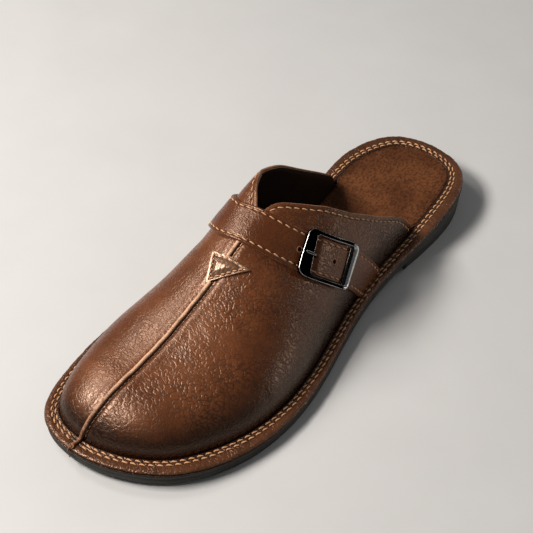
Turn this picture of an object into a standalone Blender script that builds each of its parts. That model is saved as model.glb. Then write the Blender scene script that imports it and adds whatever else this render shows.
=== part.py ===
"""A left mule: a leather clog with a stitched welt, a centre seam and a buckled instep strap.

The toe points along -Y, the heel along +Y and the outer side of the foot along +X.
The origin is under the middle of the sole, on the floor.
"""
import bmesh
import bpy
import numpy as np

MM = 0.001

# Driving sizes, in metres
LENGTH = 292 * MM
BALL_WIDTH = 111 * MM
HEEL_WIDTH = 76.5 * MM
HEEL_HEIGHT = 10.4 * MM
TOE_SPRING = 3.8 * MM
OUTSOLE_THICKNESS = 5.4 * MM
OUTSOLE_SETBACK = 0.7 * MM
HEEL_TAPER = 1.0 * MM
WELT_THICKNESS = 2.8 * MM
WELT_WIDTH = 8.5 * MM
WELT_ROUNDING = 1.1 * MM
INSOLE_THICKNESS = 3.0 * MM
INSOLE_DISH = 1.2 * MM
INSOLE_EASE = 1.6 * MM
UPPER_WALL = 2.0 * MM
INSTEP_HEIGHT = 67 * MM
TOE_ROUNDING = 30 * MM
SEAM_WIDTH = 2.6 * MM
SEAM_HEIGHT = 1.8 * MM
PATCH_THICKNESS = 1.6 * MM
PATCH_BULGE = 0.7 * MM
STRAP_WIDTH = 20.4 * MM
STRAP_THICKNESS = 1.9 * MM
BUCKLE_LENGTH = 36 * MM
BUCKLE_WIDTH = 25.4 * MM
BUCKLE_CORNER = 4 * MM
BUCKLE_THICKNESS = 2.0 * MM
BUCKLE_NEAR_BAR = 6.3 * MM
BUCKLE_FAR_BAR = 3.8 * MM
BUCKLE_SIDE_BAR = 2.1 * MM
PIN_DIAMETER = 1.6 * MM
PRONG_THICKNESS = 1.2 * MM
PRONG_WIDTH = 2.0 * MM
PRONG_HOLE = 4.0 * MM
PIN_CLEARANCE = 1.2 * MM
STRAP_TIP_ROUNDING = 3 * MM
GAP = 0.3 * MM

# How finely the curved pieces are divided
OUTLINE_STEPS = 72
INSOLE_STRIPS = 8
UPPER_ROWS = 26
UPPER_COLUMNS = 36
SEAM_STEPS = 26
PATCH_STEPS = 7
STRAP_STEPS = 65
BUCKLE_STRAP_STEPS = 13
STRAP_COLUMNS = 7
HOLE_SIDES = 12

# Where the heel block starts, as a share of the length from the toe
HEEL_BREAST = 0.726


def table(columns, rows):
    """Rows of numbers as one array for each named column."""
    return dict(zip(columns.split(), np.array(rows, float).T))


# The sole's edge seen from above. The angle runs from the toe, 0, to the heel, 180, and
# along the length as a cosine. Inner and outer are shares of the local width, which goes
# from the ball's to the heel's; the welt's columns are shares of WELT_WIDTH.
OUTLINE = table("angle inner outer welt_inner welt_outer", [
    (0, -0.088, -0.088, 0.92, 0.92),
    (15, -0.282, 0.125, 0.88, 0.95),
    (30, -0.390, 0.330, 0.82, 1.04),
    (45, -0.452, 0.464, 0.82, 1.10),
    (60, -0.483, 0.528, 0.84, 0.95),
    (75, -0.455, 0.533, 0.80, 0.80),
    (90, -0.403, 0.500, 0.74, 0.72),
    (105, -0.401, 0.484, 0.74, 0.72),
    (120, -0.452, 0.508, 0.86, 0.92),
    (135, -0.485, 0.502, 1.02, 1.12),
    (150, -0.421, 0.429, 1.12, 1.05),
    (165, -0.267, 0.269, 1.06, 1.00),
    (180, 0.000, 0.000, 1.00, 1.00),
])

# The sole's bottom seen from the side, from the toe: shares of the two lifts
SOLE_SIDE = table("along spring heel", [
    (0.00, 1.00, 0.00),
    (0.10, 0.40, 0.00),
    (0.21, 0.00, 0.00),
    (0.40, 0.00, 0.00),
    (0.57, 0.00, 0.27),
    (0.726, 0.00, 0.515),
    (0.87, 0.00, 0.96),
    (0.93, 0.00, 1.00),
    (1.00, 0.00, 1.00),
])

# The upper's cross sections, from the toe. The ridge's place is a share of BALL_WIDTH, its
# height a share of INSTEP_HEIGHT, and the fullness is the power of each side's curve:
# 1 is straight, 2 an ellipse.
SECTIONS = table("along ridge height inner outer", [
    (0.024, -0.088, 0.30, 2.8, 2.2),
    (0.072, -0.068, 0.33, 3.0, 2.2),
    (0.123, -0.060, 0.365, 3.0, 2.2),
    (0.192, -0.051, 0.44, 2.8, 2.1),
    (0.284, -0.040, 0.59, 2.3, 2.0),
    (0.329, -0.036, 0.68, 2.25, 1.8),
    (0.397, -0.030, 0.86, 2.35, 1.6),
    (0.470, -0.030, 0.99, 3.2, 1.5),
    (0.520, -0.030, 1.08, 3.7, 1.5),
    (0.570, -0.030, 1.16, 3.5, 1.62),
    (0.660, -0.030, 1.28, 2.4, 1.8),
    (0.790, -0.030, 1.35, 1.8, 1.8),
])

# The collar's edge: how far along the upper it lies for each place round the section,
# from the ridge, 0, down to the welt, 1
TOPLINE = table("round inner outer", [
    (0.00, 0.468, 0.468),
    (0.04, 0.469, 0.489),
    (0.08, 0.472, 0.500),
    (0.15, 0.484, 0.515),
    (0.22, 0.496, 0.530),
    (0.30, 0.512, 0.547),
    (0.36, 0.529, 0.561),
    (0.42, 0.543, 0.574),
    (0.49, 0.558, 0.590),
    (0.56, 0.597, 0.608),
    (0.64, 0.641, 0.636),
    (0.72, 0.681, 0.669),
    (0.86, 0.750, 0.741),
    (0.93, 0.779, 0.764),
    (1.00, 0.790, 0.785),
])

# The middle of the strap over the upper, round from the inner foot line to the outer one
STRAP_LINE = table("round along", [
    (-1.00, 0.596),
    (-0.75, 0.534),
    (-0.45, 0.457),
    (-0.20, 0.437),
    (0.00, 0.440),
    (0.13, 0.449),
    (0.37, 0.478),
    (0.60, 0.522),
    (1.00, 0.625),
])
BUCKLE_ROUND = 0.585

# The patch's three corners on the upper
PATCH_CORNERS = table("round along", [
    (-0.02, 0.331),
    (-0.150, 0.377),
    (0.163, 0.384),
])


def smooth(places, values, at):
    """A smooth curve through a table's rows that never swings past them."""
    step = np.diff(places)
    rise = np.diff(values) / step
    before, after = rise[:-1], rise[1:]
    both = before * after
    middle = np.where(both > 0, 2 * both / np.where(both > 0, before + after, 1), 0)
    slope = np.concatenate([rise[:1], middle, rise[-1:]])
    at = np.clip(at, places[0], places[-1])
    row = np.clip(np.searchsorted(places, at) - 1, 0, len(step) - 1)
    t = (at - places[row]) / step[row]
    return (values[row] * (1 + 2 * t) * (1 - t) ** 2 + values[row + 1] * t ** 2 * (3 - 2 * t)
            + step[row] * t * (1 - t) * (slope[row] * (1 - t) - slope[row + 1] * t))


def closed_curve(values, turns):
    """A smooth closed curve through evenly spaced values, read at shares of a full turn."""
    count = len(values)
    weights = (4 + 2 * np.cos(2 * np.pi * np.arange(count) / count)) / 6
    control = np.real(np.fft.ifft(np.fft.fft(values) / weights))
    place = np.asarray(turns, float) % 1 * count
    first = np.floor(place).astype(int)
    t = place - first
    blends = ((1 - t) ** 3, 3 * t ** 3 - 6 * t ** 2 + 4,
              -3 * t ** 3 + 3 * t ** 2 + 3 * t + 1, t ** 3)
    return sum(blend * control[(first + k - 1) % count] for k, blend in enumerate(blends)) / 6


def all_round(inner, outer):
    """Both sides' columns as one closed row of values, up the outer side and down the inner."""
    return np.concatenate([outer, inner[-2:0:-1]])


def side_length(y):
    """Share of the sole's length from the toe."""
    return y / LENGTH + 0.5


def sole_bottom(y):
    along = side_length(y)
    return (TOE_SPRING * smooth(SOLE_SIDE["along"], SOLE_SIDE["spring"], along)
            + HEEL_HEIGHT * smooth(SOLE_SIDE["along"], SOLE_SIDE["heel"], along))


def outsole_top(y):
    return sole_bottom(y) + OUTSOLE_THICKNESS


def welt_top(y):
    return outsole_top(y) + GAP + WELT_THICKNESS


# The outline's width is the ball's up to the first angle and the heel's from the second
BALL_ANGLE = 60
HEEL_ANGLE = 120


def local_width():
    """The width that each row of the outline takes its shares of."""
    toward_heel = np.clip((OUTLINE["angle"] - BALL_ANGLE) / (HEEL_ANGLE - BALL_ANGLE), 0, 1)
    toward_heel = toward_heel ** 2 * (3 - 2 * toward_heel)
    return BALL_WIDTH + (HEEL_WIDTH - BALL_WIDTH) * toward_heel


EDGE = all_round(OUTLINE["inner"] * local_width(), OUTLINE["outer"] * local_width())
WELT_EDGE = WELT_WIDTH * all_round(OUTLINE["welt_inner"], OUTLINE["welt_outer"])


def edge_point(turns):
    turns = np.asarray(turns, float)
    return np.stack([closed_curve(EDGE, turns), -LENGTH / 2 * np.cos(2 * np.pi * turns)], -1)


AROUND = edge_point(np.linspace(0, 1, 721))
MIDDLE = (AROUND[:, 0].max() + AROUND[:, 0].min()) / 2


def outline(turns, inset=0.0):
    """The sole's edge, moved inward by inset, at shares of a turn from the toe."""
    turns = np.asarray(turns, float)
    nudge = 1e-4
    along = edge_point(turns + nudge) - edge_point(turns - nudge)
    along /= np.linalg.norm(along, axis=-1, keepdims=True)
    inward = np.stack([-along[..., 1], along[..., 0]], -1)
    place = edge_point(turns) + inward * np.expand_dims(np.asarray(inset, float), -1)
    return place - np.array([MIDDLE, 0.0])


def welt_width(turns):
    return closed_curve(WELT_EDGE, turns)


def ring(turns, inset, height):
    """Points of a closed ring round the sole; height is a function of y."""
    flat = outline(turns, inset)
    return np.column_stack([flat, height(flat[:, 1])])


# The line where the upper meets the sole, and the ridge over it
FOOT_TURNS = np.linspace(0, 1, 1441)
FOOT_LINE = outline(FOOT_TURNS, welt_width(FOOT_TURNS) + GAP)
TOE_AT = FOOT_LINE[:, 1].argmin()
UPPER_TOE = FOOT_LINE[TOE_AT, 1]
FOOT_LINE = np.roll(FOOT_LINE[:-1], -TOE_AT, axis=0)
HEEL_AT = FOOT_LINE[:, 1].argmax()
OUTER_FOOT = FOOT_LINE[:HEEL_AT + 1]
INNER_FOOT = np.vstack([FOOT_LINE[:1], FOOT_LINE[:HEEL_AT - 1:-1]])


def section(y):
    """One cross section's ridge, foot points, height and fullness, for each y."""
    along = side_length(y)
    ridge = BALL_WIDTH * smooth(SECTIONS["along"], SECTIONS["ridge"], along) - MIDDLE
    near_toe = np.clip((y - UPPER_TOE) / TOE_ROUNDING, 0, 1)
    height = INSTEP_HEIGHT * smooth(SECTIONS["along"], SECTIONS["height"], along)
    height = height * np.sqrt(1 - (1 - near_toe) ** 2)
    outer = np.interp(y, OUTER_FOOT[:, 1], OUTER_FOOT[:, 0])
    inner = np.interp(y, INNER_FOOT[:, 1], INNER_FOOT[:, 0])
    ridge = np.clip(ridge, inner, outer)
    fullness = [smooth(SECTIONS["along"], SECTIONS[side], along) for side in ("inner", "outer")]
    return ridge, inner, outer, height, fullness


def upper_point(y, round_):
    """The upper's outer surface. round_ is -1 at the inner foot line, 0 on the ridge, 1 outside."""
    y, round_ = np.broadcast_arrays(np.asarray(y, float), np.asarray(round_, float))
    ridge, inner, outer, height, (inner_power, outer_power) = section(y)
    turn = np.abs(round_) * np.pi / 2
    power = np.where(round_ < 0, inner_power, outer_power)
    across, up = np.sin(turn), np.cos(turn)
    reach = (np.abs(across) ** power + np.abs(up) ** power) ** (1 / power)
    side = np.where(round_ < 0, inner, outer)
    x = ridge + (side - ridge) * across / reach
    z = outsole_top(y) + GAP + height * up / reach
    return np.stack([x, y, z], -1)


def upper_normal(y, round_):
    """The outward direction of the upper's surface, level where it meets the sole."""
    y, round_ = np.broadcast_arrays(np.asarray(y, float), np.asarray(round_, float))
    step_y, step_round = 0.2 * MM, 0.004
    y_in = np.maximum(y, UPPER_TOE + 2 * step_y)
    low, high = np.clip(round_ - step_round, -1, 1), np.clip(round_ + step_round, -1, 1)
    across = upper_point(y_in, high) - upper_point(y_in, low)
    along = upper_point(y_in + step_y, round_) - upper_point(y_in - step_y, round_)
    out = np.cross(across, along)
    above = upper_point(y_in, round_)[..., 2] - outsole_top(y_in) - GAP
    out[..., 2] *= np.clip(above / WELT_THICKNESS, 0, 1)
    out = np.where((y > UPPER_TOE)[..., None], out, [0, -1, 0])
    return out / np.linalg.norm(out, axis=-1, keepdims=True)


def on_upper(y, round_, lift=0.0):
    """A point lifted off the upper's surface, or sunk into it where lift is below zero."""
    lift = np.expand_dims(np.asarray(lift, float), -1)
    return upper_point(y, round_) + upper_normal(y, round_) * lift


def topline(round_):
    """How far back the upper reaches at each place round its section."""
    sides = [smooth(TOPLINE["round"], TOPLINE[side], np.abs(round_)) for side in ("inner", "outer")]
    return (np.where(round_ < 0, *sides) - 0.5) * LENGTH


def lengths_along(points):
    return np.concatenate([[0], np.cumsum(np.linalg.norm(np.diff(points, axis=0), axis=-1))])


STRAP_ROUND = np.linspace(-1, 1, 801)
STRAP_Y = (smooth(STRAP_LINE["round"], STRAP_LINE["along"], STRAP_ROUND) - 0.5) * LENGTH
STRAP_LENGTHS = lengths_along(upper_point(STRAP_Y, STRAP_ROUND))
STRAP_LENGTHS -= np.interp(BUCKLE_ROUND, STRAP_ROUND, STRAP_LENGTHS)


def strap_place(along, across):
    """The place (y, round) on the upper at a length along the strap from the buckle's middle,
    toward the outer side, and a length across it, toward the heel."""
    along, across = np.broadcast_arrays(np.asarray(along, float), np.asarray(across, float))
    y, round_ = (np.interp(along, STRAP_LENGTHS, values) for values in (STRAP_Y, STRAP_ROUND))
    start = upper_point(y, round_)
    ahead = [np.interp(along + step, STRAP_LENGTHS, values)
             for step in (-2 * MM, 2 * MM) for values in (STRAP_Y, STRAP_ROUND)]
    forward = upper_point(*ahead[2:]) - upper_point(*ahead[:2])
    sideways = np.cross(upper_normal(y, round_), forward)
    sideways /= np.linalg.norm(sideways, axis=-1, keepdims=True)
    target = start + sideways * across[..., None]
    step_y, step_round = 0.3 * MM, 0.003
    for _ in range(6):
        miss = target - upper_point(y, round_)
        by_y = (upper_point(y + step_y, round_) - upper_point(y - step_y, round_)) / (2 * step_y)
        by_round = upper_point(y, round_ + step_round) - upper_point(y, round_ - step_round)
        by_round /= 2 * step_round
        yy, rr, yr = (np.sum(p * q, -1)
                      for p, q in ((by_y, by_y), (by_round, by_round), (by_y, by_round)))
        my, mr = np.sum(by_y * miss, -1), np.sum(by_round * miss, -1)
        spread = yy * rr - yr ** 2
        y = y + (rr * my - yr * mr) / spread
        round_ = np.clip(round_ + (yy * mr - yr * my) / spread, -1, 1)
    return y, round_


def on_strap(along, across, lift):
    return on_upper(*strap_place(along, across), lift)


def strap_end(across, outer_side):
    """How far along the strap reaches, at a length across it, before it meets the welt."""
    toward = STRAP_LENGTHS[-1] if outer_side else STRAP_LENGTHS[0]
    along = np.linspace(0.4, 1, 60) * toward
    y, round_ = strap_place(along, across)
    above = upper_point(y, round_)[:, 2] - welt_top(y) - GAP
    return np.interp(0, -above, along)


def clear_scene():
    for old in list(bpy.data.objects):
        bpy.data.objects.remove(old)


def material(name, colour, roughness, metallic=0.0):
    made = bpy.data.materials.new(name)
    made.use_nodes = True
    shader = made.node_tree.nodes["Principled BSDF"]
    shader.inputs["Base Color"].default_value = (*colour, 1.0)
    shader.inputs["Roughness"].default_value = roughness
    shader.inputs["Metallic"].default_value = metallic
    return made


def solid(name, points, faces, finish):
    """One closed object from its points and faces, smooth but for its sharp edges."""
    mesh = bpy.data.meshes.new(name)
    mesh.from_pydata([tuple(point) for point in points], [], faces)
    mesh.validate()
    mesh.materials.append(finish)
    mesh.shade_smooth()
    mesh.set_sharp_from_angle(angle=np.radians(40))
    made = bpy.data.objects.new(name, mesh)
    bpy.context.collection.objects.link(made)
    return made


def bridge(first, second, count, closed=True):
    """Faces between two rows of points that start at the indices first and second."""
    steps = range(count if closed else count - 1)
    return [(first + k, first + (k + 1) % count, second + (k + 1) % count, second + k) for k in steps]


def lid(first, count, upward):
    """Cross strips that close an outline whose points start at first, mirrored about its tips."""
    half = count // 2
    faces = []
    for k in range(half):
        left, right = first + (count - k) % count, first + k
        next_left, next_right = first + count - k - 1, first + k + 1
        corners = [left, right, next_right, next_left]
        face = [corner for place, corner in enumerate(corners) if corner not in corners[:place]]
        faces.append(tuple(face if upward else face[::-1]))
    return faces


def stacked(name, rings, finish):
    """A solid whose side goes up through rings of points, closed by a lid at each end."""
    count = len(rings[0])
    faces = lid(0, count, upward=False)
    for level in range(len(rings) - 1):
        faces += bridge(level * count, (level + 1) * count, count)
    faces += lid((len(rings) - 1) * count, count, upward=True)
    return solid(name, np.vstack(rings), faces, finish)


def turned_ring(name, rings, finish):
    """A solid ring round the sole, whose section goes through closed rings of points."""
    count = len(rings[0])
    faces = []
    for level in range(len(rings)):
        faces += bridge(level * count, (level + 1) % len(rings) * count, count)
    return solid(name, np.vstack(rings), faces, finish)


def make_outsole(finish):
    turns = np.arange(OUTLINE_STEPS) / OUTLINE_STEPS
    return stacked("outsole", [
        ring(turns, OUTSOLE_SETBACK, sole_bottom),
        ring(turns, OUTSOLE_SETBACK, outsole_top)], finish)



def make_heel(finish):
    """The block under the seat, with a straight breast in front."""
    turns = np.arange(OUTLINE_STEPS) / OUTLINE_STEPS
    front = (HEEL_BREAST - 0.5) * LENGTH

    def clipped(inset, height):
        points = ring(turns, inset, height)
        behind = points[points[:, 1] > front]
        start = ring(np.array([np.arccos(-2 * front / LENGTH) / 2 / np.pi]), inset, height)[0]
        end = ring(np.array([1 - np.arccos(-2 * front / LENGTH) / 2 / np.pi]), inset, height)[0]
        row = np.vstack([start, behind, end])
        row[[0, -1], 1] = front
        return row

    top = clipped(OUTSOLE_SETBACK, lambda y: sole_bottom(y) - GAP)
    bottom = clipped(OUTSOLE_SETBACK + HEEL_TAPER, lambda y: 0 * y)
    count = len(top)
    faces = bridge(0, count, count)

    def strips(first, upward):
        made = []
        for k in range(count // 2):
            corners = [first + k, first + k + 1, first + count - 2 - k, first + count - 1 - k]
            face = [corner for place, corner in enumerate(corners) if corner not in corners[:place]]
            if len(face) > 2:
                made.append(tuple(face if upward else face[::-1]))
        return made

    faces += strips(0, upward=False) + strips(count, upward=True)
    return solid("heel", np.vstack([bottom, top]), faces, finish)


def make_welt(finish):
    turns = np.arange(OUTLINE_STEPS * 4 // 3) / (OUTLINE_STEPS * 4 // 3)
    width = welt_width(turns)
    rounding = WELT_ROUNDING

    def at(inset, below):
        return ring(turns, inset, lambda y: welt_top(y) - below)

    return turned_ring("welt", [
        at(width, WELT_THICKNESS),
        at(rounding * 0.6, WELT_THICKNESS),
        at(0, WELT_THICKNESS - rounding * 0.8),
        at(0, rounding),
        at(rounding * 0.4, rounding * 0.35),
        at(rounding * 1.4, 0),
        at(width, 0)], finish)


def make_insole(finish):
    """The footbed: inside the upper in front, out to the welt behind the quarters."""
    step_at = [np.arccos(-2 * (TOPLINE[side][-1] - 0.5)) / 2 / np.pi for side in ("outer", "inner")]
    turns = np.arange(OUTLINE_STEPS + 1) / OUTLINE_STEPS / 2
    insets = []
    for step in step_at:
        to_heel = np.clip((turns - step - 0.003) / 0.005, 0, 1)
        held = GAP + UPPER_WALL + INSOLE_EASE
        insets.append(GAP + held * (1 - to_heel))
    outer = outline(turns, welt_width(turns) + insets[0])
    inner = outline(1 - turns, welt_width(1 - turns) + insets[1])
    across = np.linspace(0, 1, INSOLE_STRIPS + 1)
    flat = inner[:, None] + (outer - inner)[:, None] * across[None, :, None]
    bottom = outsole_top(flat[..., 1]) + GAP
    from_edge = np.sin(np.pi * across)[None, :]
    length = np.sin(np.pi * turns * 2)[:, None]
    top = bottom + INSOLE_THICKNESS - INSOLE_DISH * np.sqrt(from_edge * length)
    rows, columns = flat.shape[:2]
    points = np.vstack([np.dstack([flat, height]).reshape(-1, 3) for height in (top, bottom)])
    return closed_sheet("insole", points, rows, columns, finish)


def sheet_faces(rows, columns):
    return [(r * columns + c, r * columns + c + 1, (r + 1) * columns + c + 1, (r + 1) * columns + c)
            for r in range(rows - 1) for c in range(columns - 1)]


def closed_sheet(name, points, rows, columns, finish):
    """A solid from a top sheet of points and a bottom sheet that follow each other."""
    below = rows * columns
    faces = sheet_faces(rows, columns)
    edge = ([c for c in range(columns)]
            + [r * columns + columns - 1 for r in range(1, rows)]
            + [(rows - 1) * columns + c for c in range(columns - 2, -1, -1)]
            + [r * columns for r in range(rows - 2, 0, -1)])
    faces += [tuple(corner + below for corner in face[::-1]) for face in faces]
    for here, after in zip(edge, edge[1:] + edge[:1]):
        faces.append((after, here, here + below, after + below))
    made = solid(name, points, faces, finish)
    weld(made)
    return made


def weld(made):
    """Join the points that lie on one another, as at a tip, and drop the empty faces."""
    shape = bmesh.new()
    shape.from_mesh(made.data)
    bmesh.ops.remove_doubles(shape, verts=shape.verts, dist=1e-7)
    bmesh.ops.dissolve_degenerate(shape, edges=shape.edges, dist=1e-7)
    bmesh.ops.recalc_face_normals(shape, faces=shape.faces)
    shape.to_mesh(made.data)
    shape.free()


def make_upper(finish):
    """The wall from the toe back to the collar's edge, open underneath and behind."""
    round_ = np.linspace(-1, 1, UPPER_COLUMNS + 1)
    share = 1 - np.cos(np.linspace(0, np.pi / 2, UPPER_ROWS + 1))
    y = UPPER_TOE + np.outer(share, topline(round_) - UPPER_TOE)
    round_ = np.broadcast_to(round_, y.shape)
    outside = on_upper(y, round_)
    inside = on_upper(y, round_, -UPPER_WALL)
    rows, columns = y.shape
    points = np.vstack([outside.reshape(-1, 3), inside.reshape(-1, 3)])
    return closed_sheet("upper", points, rows, columns, finish)


def seam_bead(name, centre, out, finish):
    """A half-round bead that follows a line of points, lifted along the directions in out."""
    along = np.gradient(centre, axis=0)
    side = np.cross(along, out)
    side /= np.linalg.norm(side, axis=-1, keepdims=True)
    profile = [(np.cos(turn), np.sin(turn)) for turn in np.linspace(0, np.pi, 7)]
    loops = np.stack([centre + side * across * SEAM_WIDTH / 2 + out * (GAP + up * SEAM_HEIGHT)
                      for across, up in profile], axis=1)
    rows, count = loops.shape[:2]
    faces = [tuple(range(count)), tuple((rows - 1) * count + k for k in range(count))[::-1]]
    for row in range(rows - 1):
        faces += bridge((row + 1) * count, row * count, count)
    made = solid(name, loops.reshape(-1, 3), faces, finish)
    weld(made)
    return made


def make_centre_seam(finish):
    """From the welt's edge at the toe, up the ridge to the patch."""
    end = (PATCH_CORNERS["along"][0] - 0.5) * LENGTH - 2 * GAP
    start = UPPER_TOE + 0.6 * MM
    y = start + (end - start) * (1 - np.cos(np.linspace(0, np.pi / 2, SEAM_STEPS)))
    ridge = upper_point(y, 0)
    out = upper_normal(y, 0)
    above = ridge[:, 2] > welt_top(y) + 1.5 * GAP
    ridge, out = ridge[above], out[above]
    edge = -LENGTH / 2
    on_welt = edge + np.array([0.12, 0.4, 0.7]) * (UPPER_TOE - edge)
    on_welt = np.column_stack([np.full(3, ridge[0, 0]), on_welt, welt_top(on_welt)])
    centre = np.vstack([on_welt, ridge])
    out = np.vstack([[(0, 0, 1)] * 2, [(0, -0.5, 0.866)], out])
    return seam_bead("centre_seam", centre, out, finish)


def make_throat_seam(finish):
    """The short stretch between the patch and the strap."""
    start = (PATCH_CORNERS["along"][1:].mean() - 0.5) * LENGTH + 2 * GAP
    front = strap_place(np.linspace(-60, -10, 200) * MM, -STRAP_WIDTH / 2 - GAP)
    end = np.interp(0, front[1], front[0]) - 2 * GAP
    y = np.linspace(start, end, 5)
    return seam_bead("throat_seam", upper_point(y, 0), upper_normal(y, 0), finish)


def make_patch(finish):
    """The three-cornered patch, fullest in its middle."""
    down = across = np.linspace(0, 1, PATCH_STEPS)
    corner = np.column_stack([PATCH_CORNERS["along"], PATCH_CORNERS["round"]])
    base = corner[1] + np.outer(across, corner[2] - corner[1])
    place = corner[0] + down[:, None, None] * (base[None] - corner[0])
    y, round_ = (place[..., 0] - 0.5) * LENGTH, place[..., 1]
    full = np.clip(np.outer(1 - (2 * down - 1) ** 2, np.sin(np.pi * across)), 0, 1) ** 0.7
    outside = on_upper(y, round_, GAP + PATCH_THICKNESS + PATCH_BULGE * full)
    inside = on_upper(y, round_, GAP)
    rows, columns = y.shape
    points = np.vstack([outside.reshape(-1, 3), inside.reshape(-1, 3)])
    return closed_sheet("triangle_patch", points, rows, columns, finish)


# Places along the strap from the buckle's middle
NEAR_BAR_EDGE = -BUCKLE_LENGTH / 2 + BUCKLE_NEAR_BAR
FAR_BAR_EDGE = BUCKLE_LENGTH / 2 - BUCKLE_FAR_BAR
PIN_AT = FAR_BAR_EDGE - PIN_CLEARANCE - PIN_DIAMETER / 2
HOLE_AT = NEAR_BAR_EDGE + PRONG_HOLE / 2
STRAP_TIP = PIN_AT - PIN_DIAMETER / 2 - GAP
FRAME_LIFT = 3 * GAP + STRAP_THICKNESS
PIN_LIFT = FRAME_LIFT + BUCKLE_THICKNESS / 2


def strap_lift(along):
    """The strap lies on the upper, and on the prong once it is past the hole."""
    share = np.clip((along - NEAR_BAR_EDGE - GAP) / PRONG_HOLE, 0, 1)
    return GAP + (PRONG_THICKNESS + GAP) * share ** 2 * (3 - 2 * share)


def strip(name, along, across, lift, thickness, finish):
    """A strap's solid from rows of lengths along and across it."""
    y, round_ = strap_place(along, across)
    rows, columns = along.shape
    outside = on_upper(y, round_, lift + thickness)
    inside = on_upper(y, round_, lift)
    points = np.vstack([outside.reshape(-1, 3), inside.reshape(-1, 3)])
    return closed_sheet(name, points, rows, columns, finish)


def tool(made):
    """A solid that only cuts or joins another, and is hidden."""
    made.hide_render = True
    made.display_type = "WIRE"
    return made


def make_strap(finish):
    """From the inner side of the welt, over the instep and under the buckle to its tip."""
    across = np.linspace(-0.5, 0.5, STRAP_COLUMNS) * STRAP_WIDTH
    start = np.array([strap_end(place, outer_side=False) for place in across])
    tip = STRAP_TIP - STRAP_TIP_ROUNDING * (2 * np.abs(across) / STRAP_WIDTH) ** 4
    share = np.linspace(0, 1, STRAP_STEPS)[:, None]
    along = start + share * (tip - start)
    across = np.broadcast_to(across, along.shape)
    made = strip("strap", along, across, strap_lift(along), STRAP_THICKNESS, finish)
    punch = prism("prong_hole", HOLE_AT, 0, PRONG_HOLE / 2, -2 * MM, 8 * MM, finish)
    cut = made.modifiers.new("prong hole", "BOOLEAN")
    cut.operation = "DIFFERENCE"
    cut.object = tool(punch)
    return made


def prism(name, along, across, radius, low, high, finish):
    """A round peg square to the strap, from one lift to another."""
    sides = HOLE_SIDES
    turn = np.arange(sides) / sides * 2 * np.pi
    middle = on_strap(along, across, 0)
    out = upper_normal(*strap_place(along, across))
    forward = np.cross(on_strap(along, across + 2 * MM, 0) - middle, out)
    forward /= np.linalg.norm(forward)
    side = np.cross(out, forward)
    circle = radius * (np.outer(np.cos(turn), forward) + np.outer(np.sin(turn), side))
    points = np.vstack([middle + circle + out * low, middle + circle + out * high])
    faces = [tuple(range(sides))[::-1], tuple(range(sides, 2 * sides))] + bridge(0, sides, sides)
    made = solid(name, points, faces, finish)
    weld(made)
    return made


def make_buckle_strap(finish):
    """The short strap from the outer side of the welt to the buckle's pin."""
    across = np.linspace(-0.5, 0.5, STRAP_COLUMNS) * (STRAP_WIDTH - 2 * GAP)
    end = np.array([strap_end(place, outer_side=True) for place in across])
    start = STRAP_TIP + GAP
    share = np.linspace(0, 1, BUCKLE_STRAP_STEPS)[:, None]
    along = start + share * (end - start)
    across = np.broadcast_to(across, along.shape)
    return strip("buckle_strap", along, across, np.full(along.shape, GAP), STRAP_THICKNESS, finish)


def rounded_oblong(low, high, half_width, corner, steps=5, side_steps=6):
    """Lengths along and across round an oblong with round corners and divided sides."""
    places = []
    for turn, (along, across) in enumerate([(high, half_width), (low, half_width),
                                            (low, -half_width), (high, -half_width)]):
        centre = np.array([along - np.sign(along - (low + high) / 2) * corner,
                           across - np.sign(across) * corner])
        for angle in np.radians(np.linspace(turn * 90, turn * 90 + 90, steps)):
            places.append(centre + corner * np.array([np.cos(angle), np.sin(angle)]))
    closed = places + places[:1]
    divided = []
    for k, (here, after) in enumerate(zip(closed, closed[1:])):
        parts = side_steps if k % steps == steps - 1 else 1
        divided += [here + (after - here) * part / parts for part in range(parts)]
    return np.array(divided)


def make_buckle_frame(finish):
    """The oblong frame, with the pin across it just inside its far bar."""
    half_length, half_width = BUCKLE_LENGTH / 2, BUCKLE_WIDTH / 2
    bevel = BUCKLE_THICKNESS / 4

    def outer(inset, lift):
        place = rounded_oblong(-half_length + inset, half_length - inset,
                               half_width - inset, BUCKLE_CORNER - inset)
        return on_strap(place[:, 0], place[:, 1], FRAME_LIFT + lift)

    def inner(outset, lift):
        place = rounded_oblong(NEAR_BAR_EDGE - outset, FAR_BAR_EDGE + outset,
                               half_width - BUCKLE_SIDE_BAR + outset, BUCKLE_CORNER / 2 + outset)
        return on_strap(place[:, 0], place[:, 1], FRAME_LIFT + lift)

    made = turned_ring("buckle_frame", [
        outer(0, 0),
        outer(0, BUCKLE_THICKNESS - bevel),
        outer(bevel, BUCKLE_THICKNESS),
        inner(bevel, BUCKLE_THICKNESS),
        inner(0, BUCKLE_THICKNESS - bevel),
        inner(0, 0)], finish)
    weld(made)
    reach = half_width - BUCKLE_SIDE_BAR / 2
    centre = on_strap(PIN_AT, np.linspace(-reach, reach, 5), PIN_LIFT)
    pin = rod("pin", centre, PIN_DIAMETER / 2, PIN_DIAMETER / 2, finish)
    join = made.modifiers.new("pin", "BOOLEAN")
    join.operation = "UNION"
    join.object = tool(pin)
    return made


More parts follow.
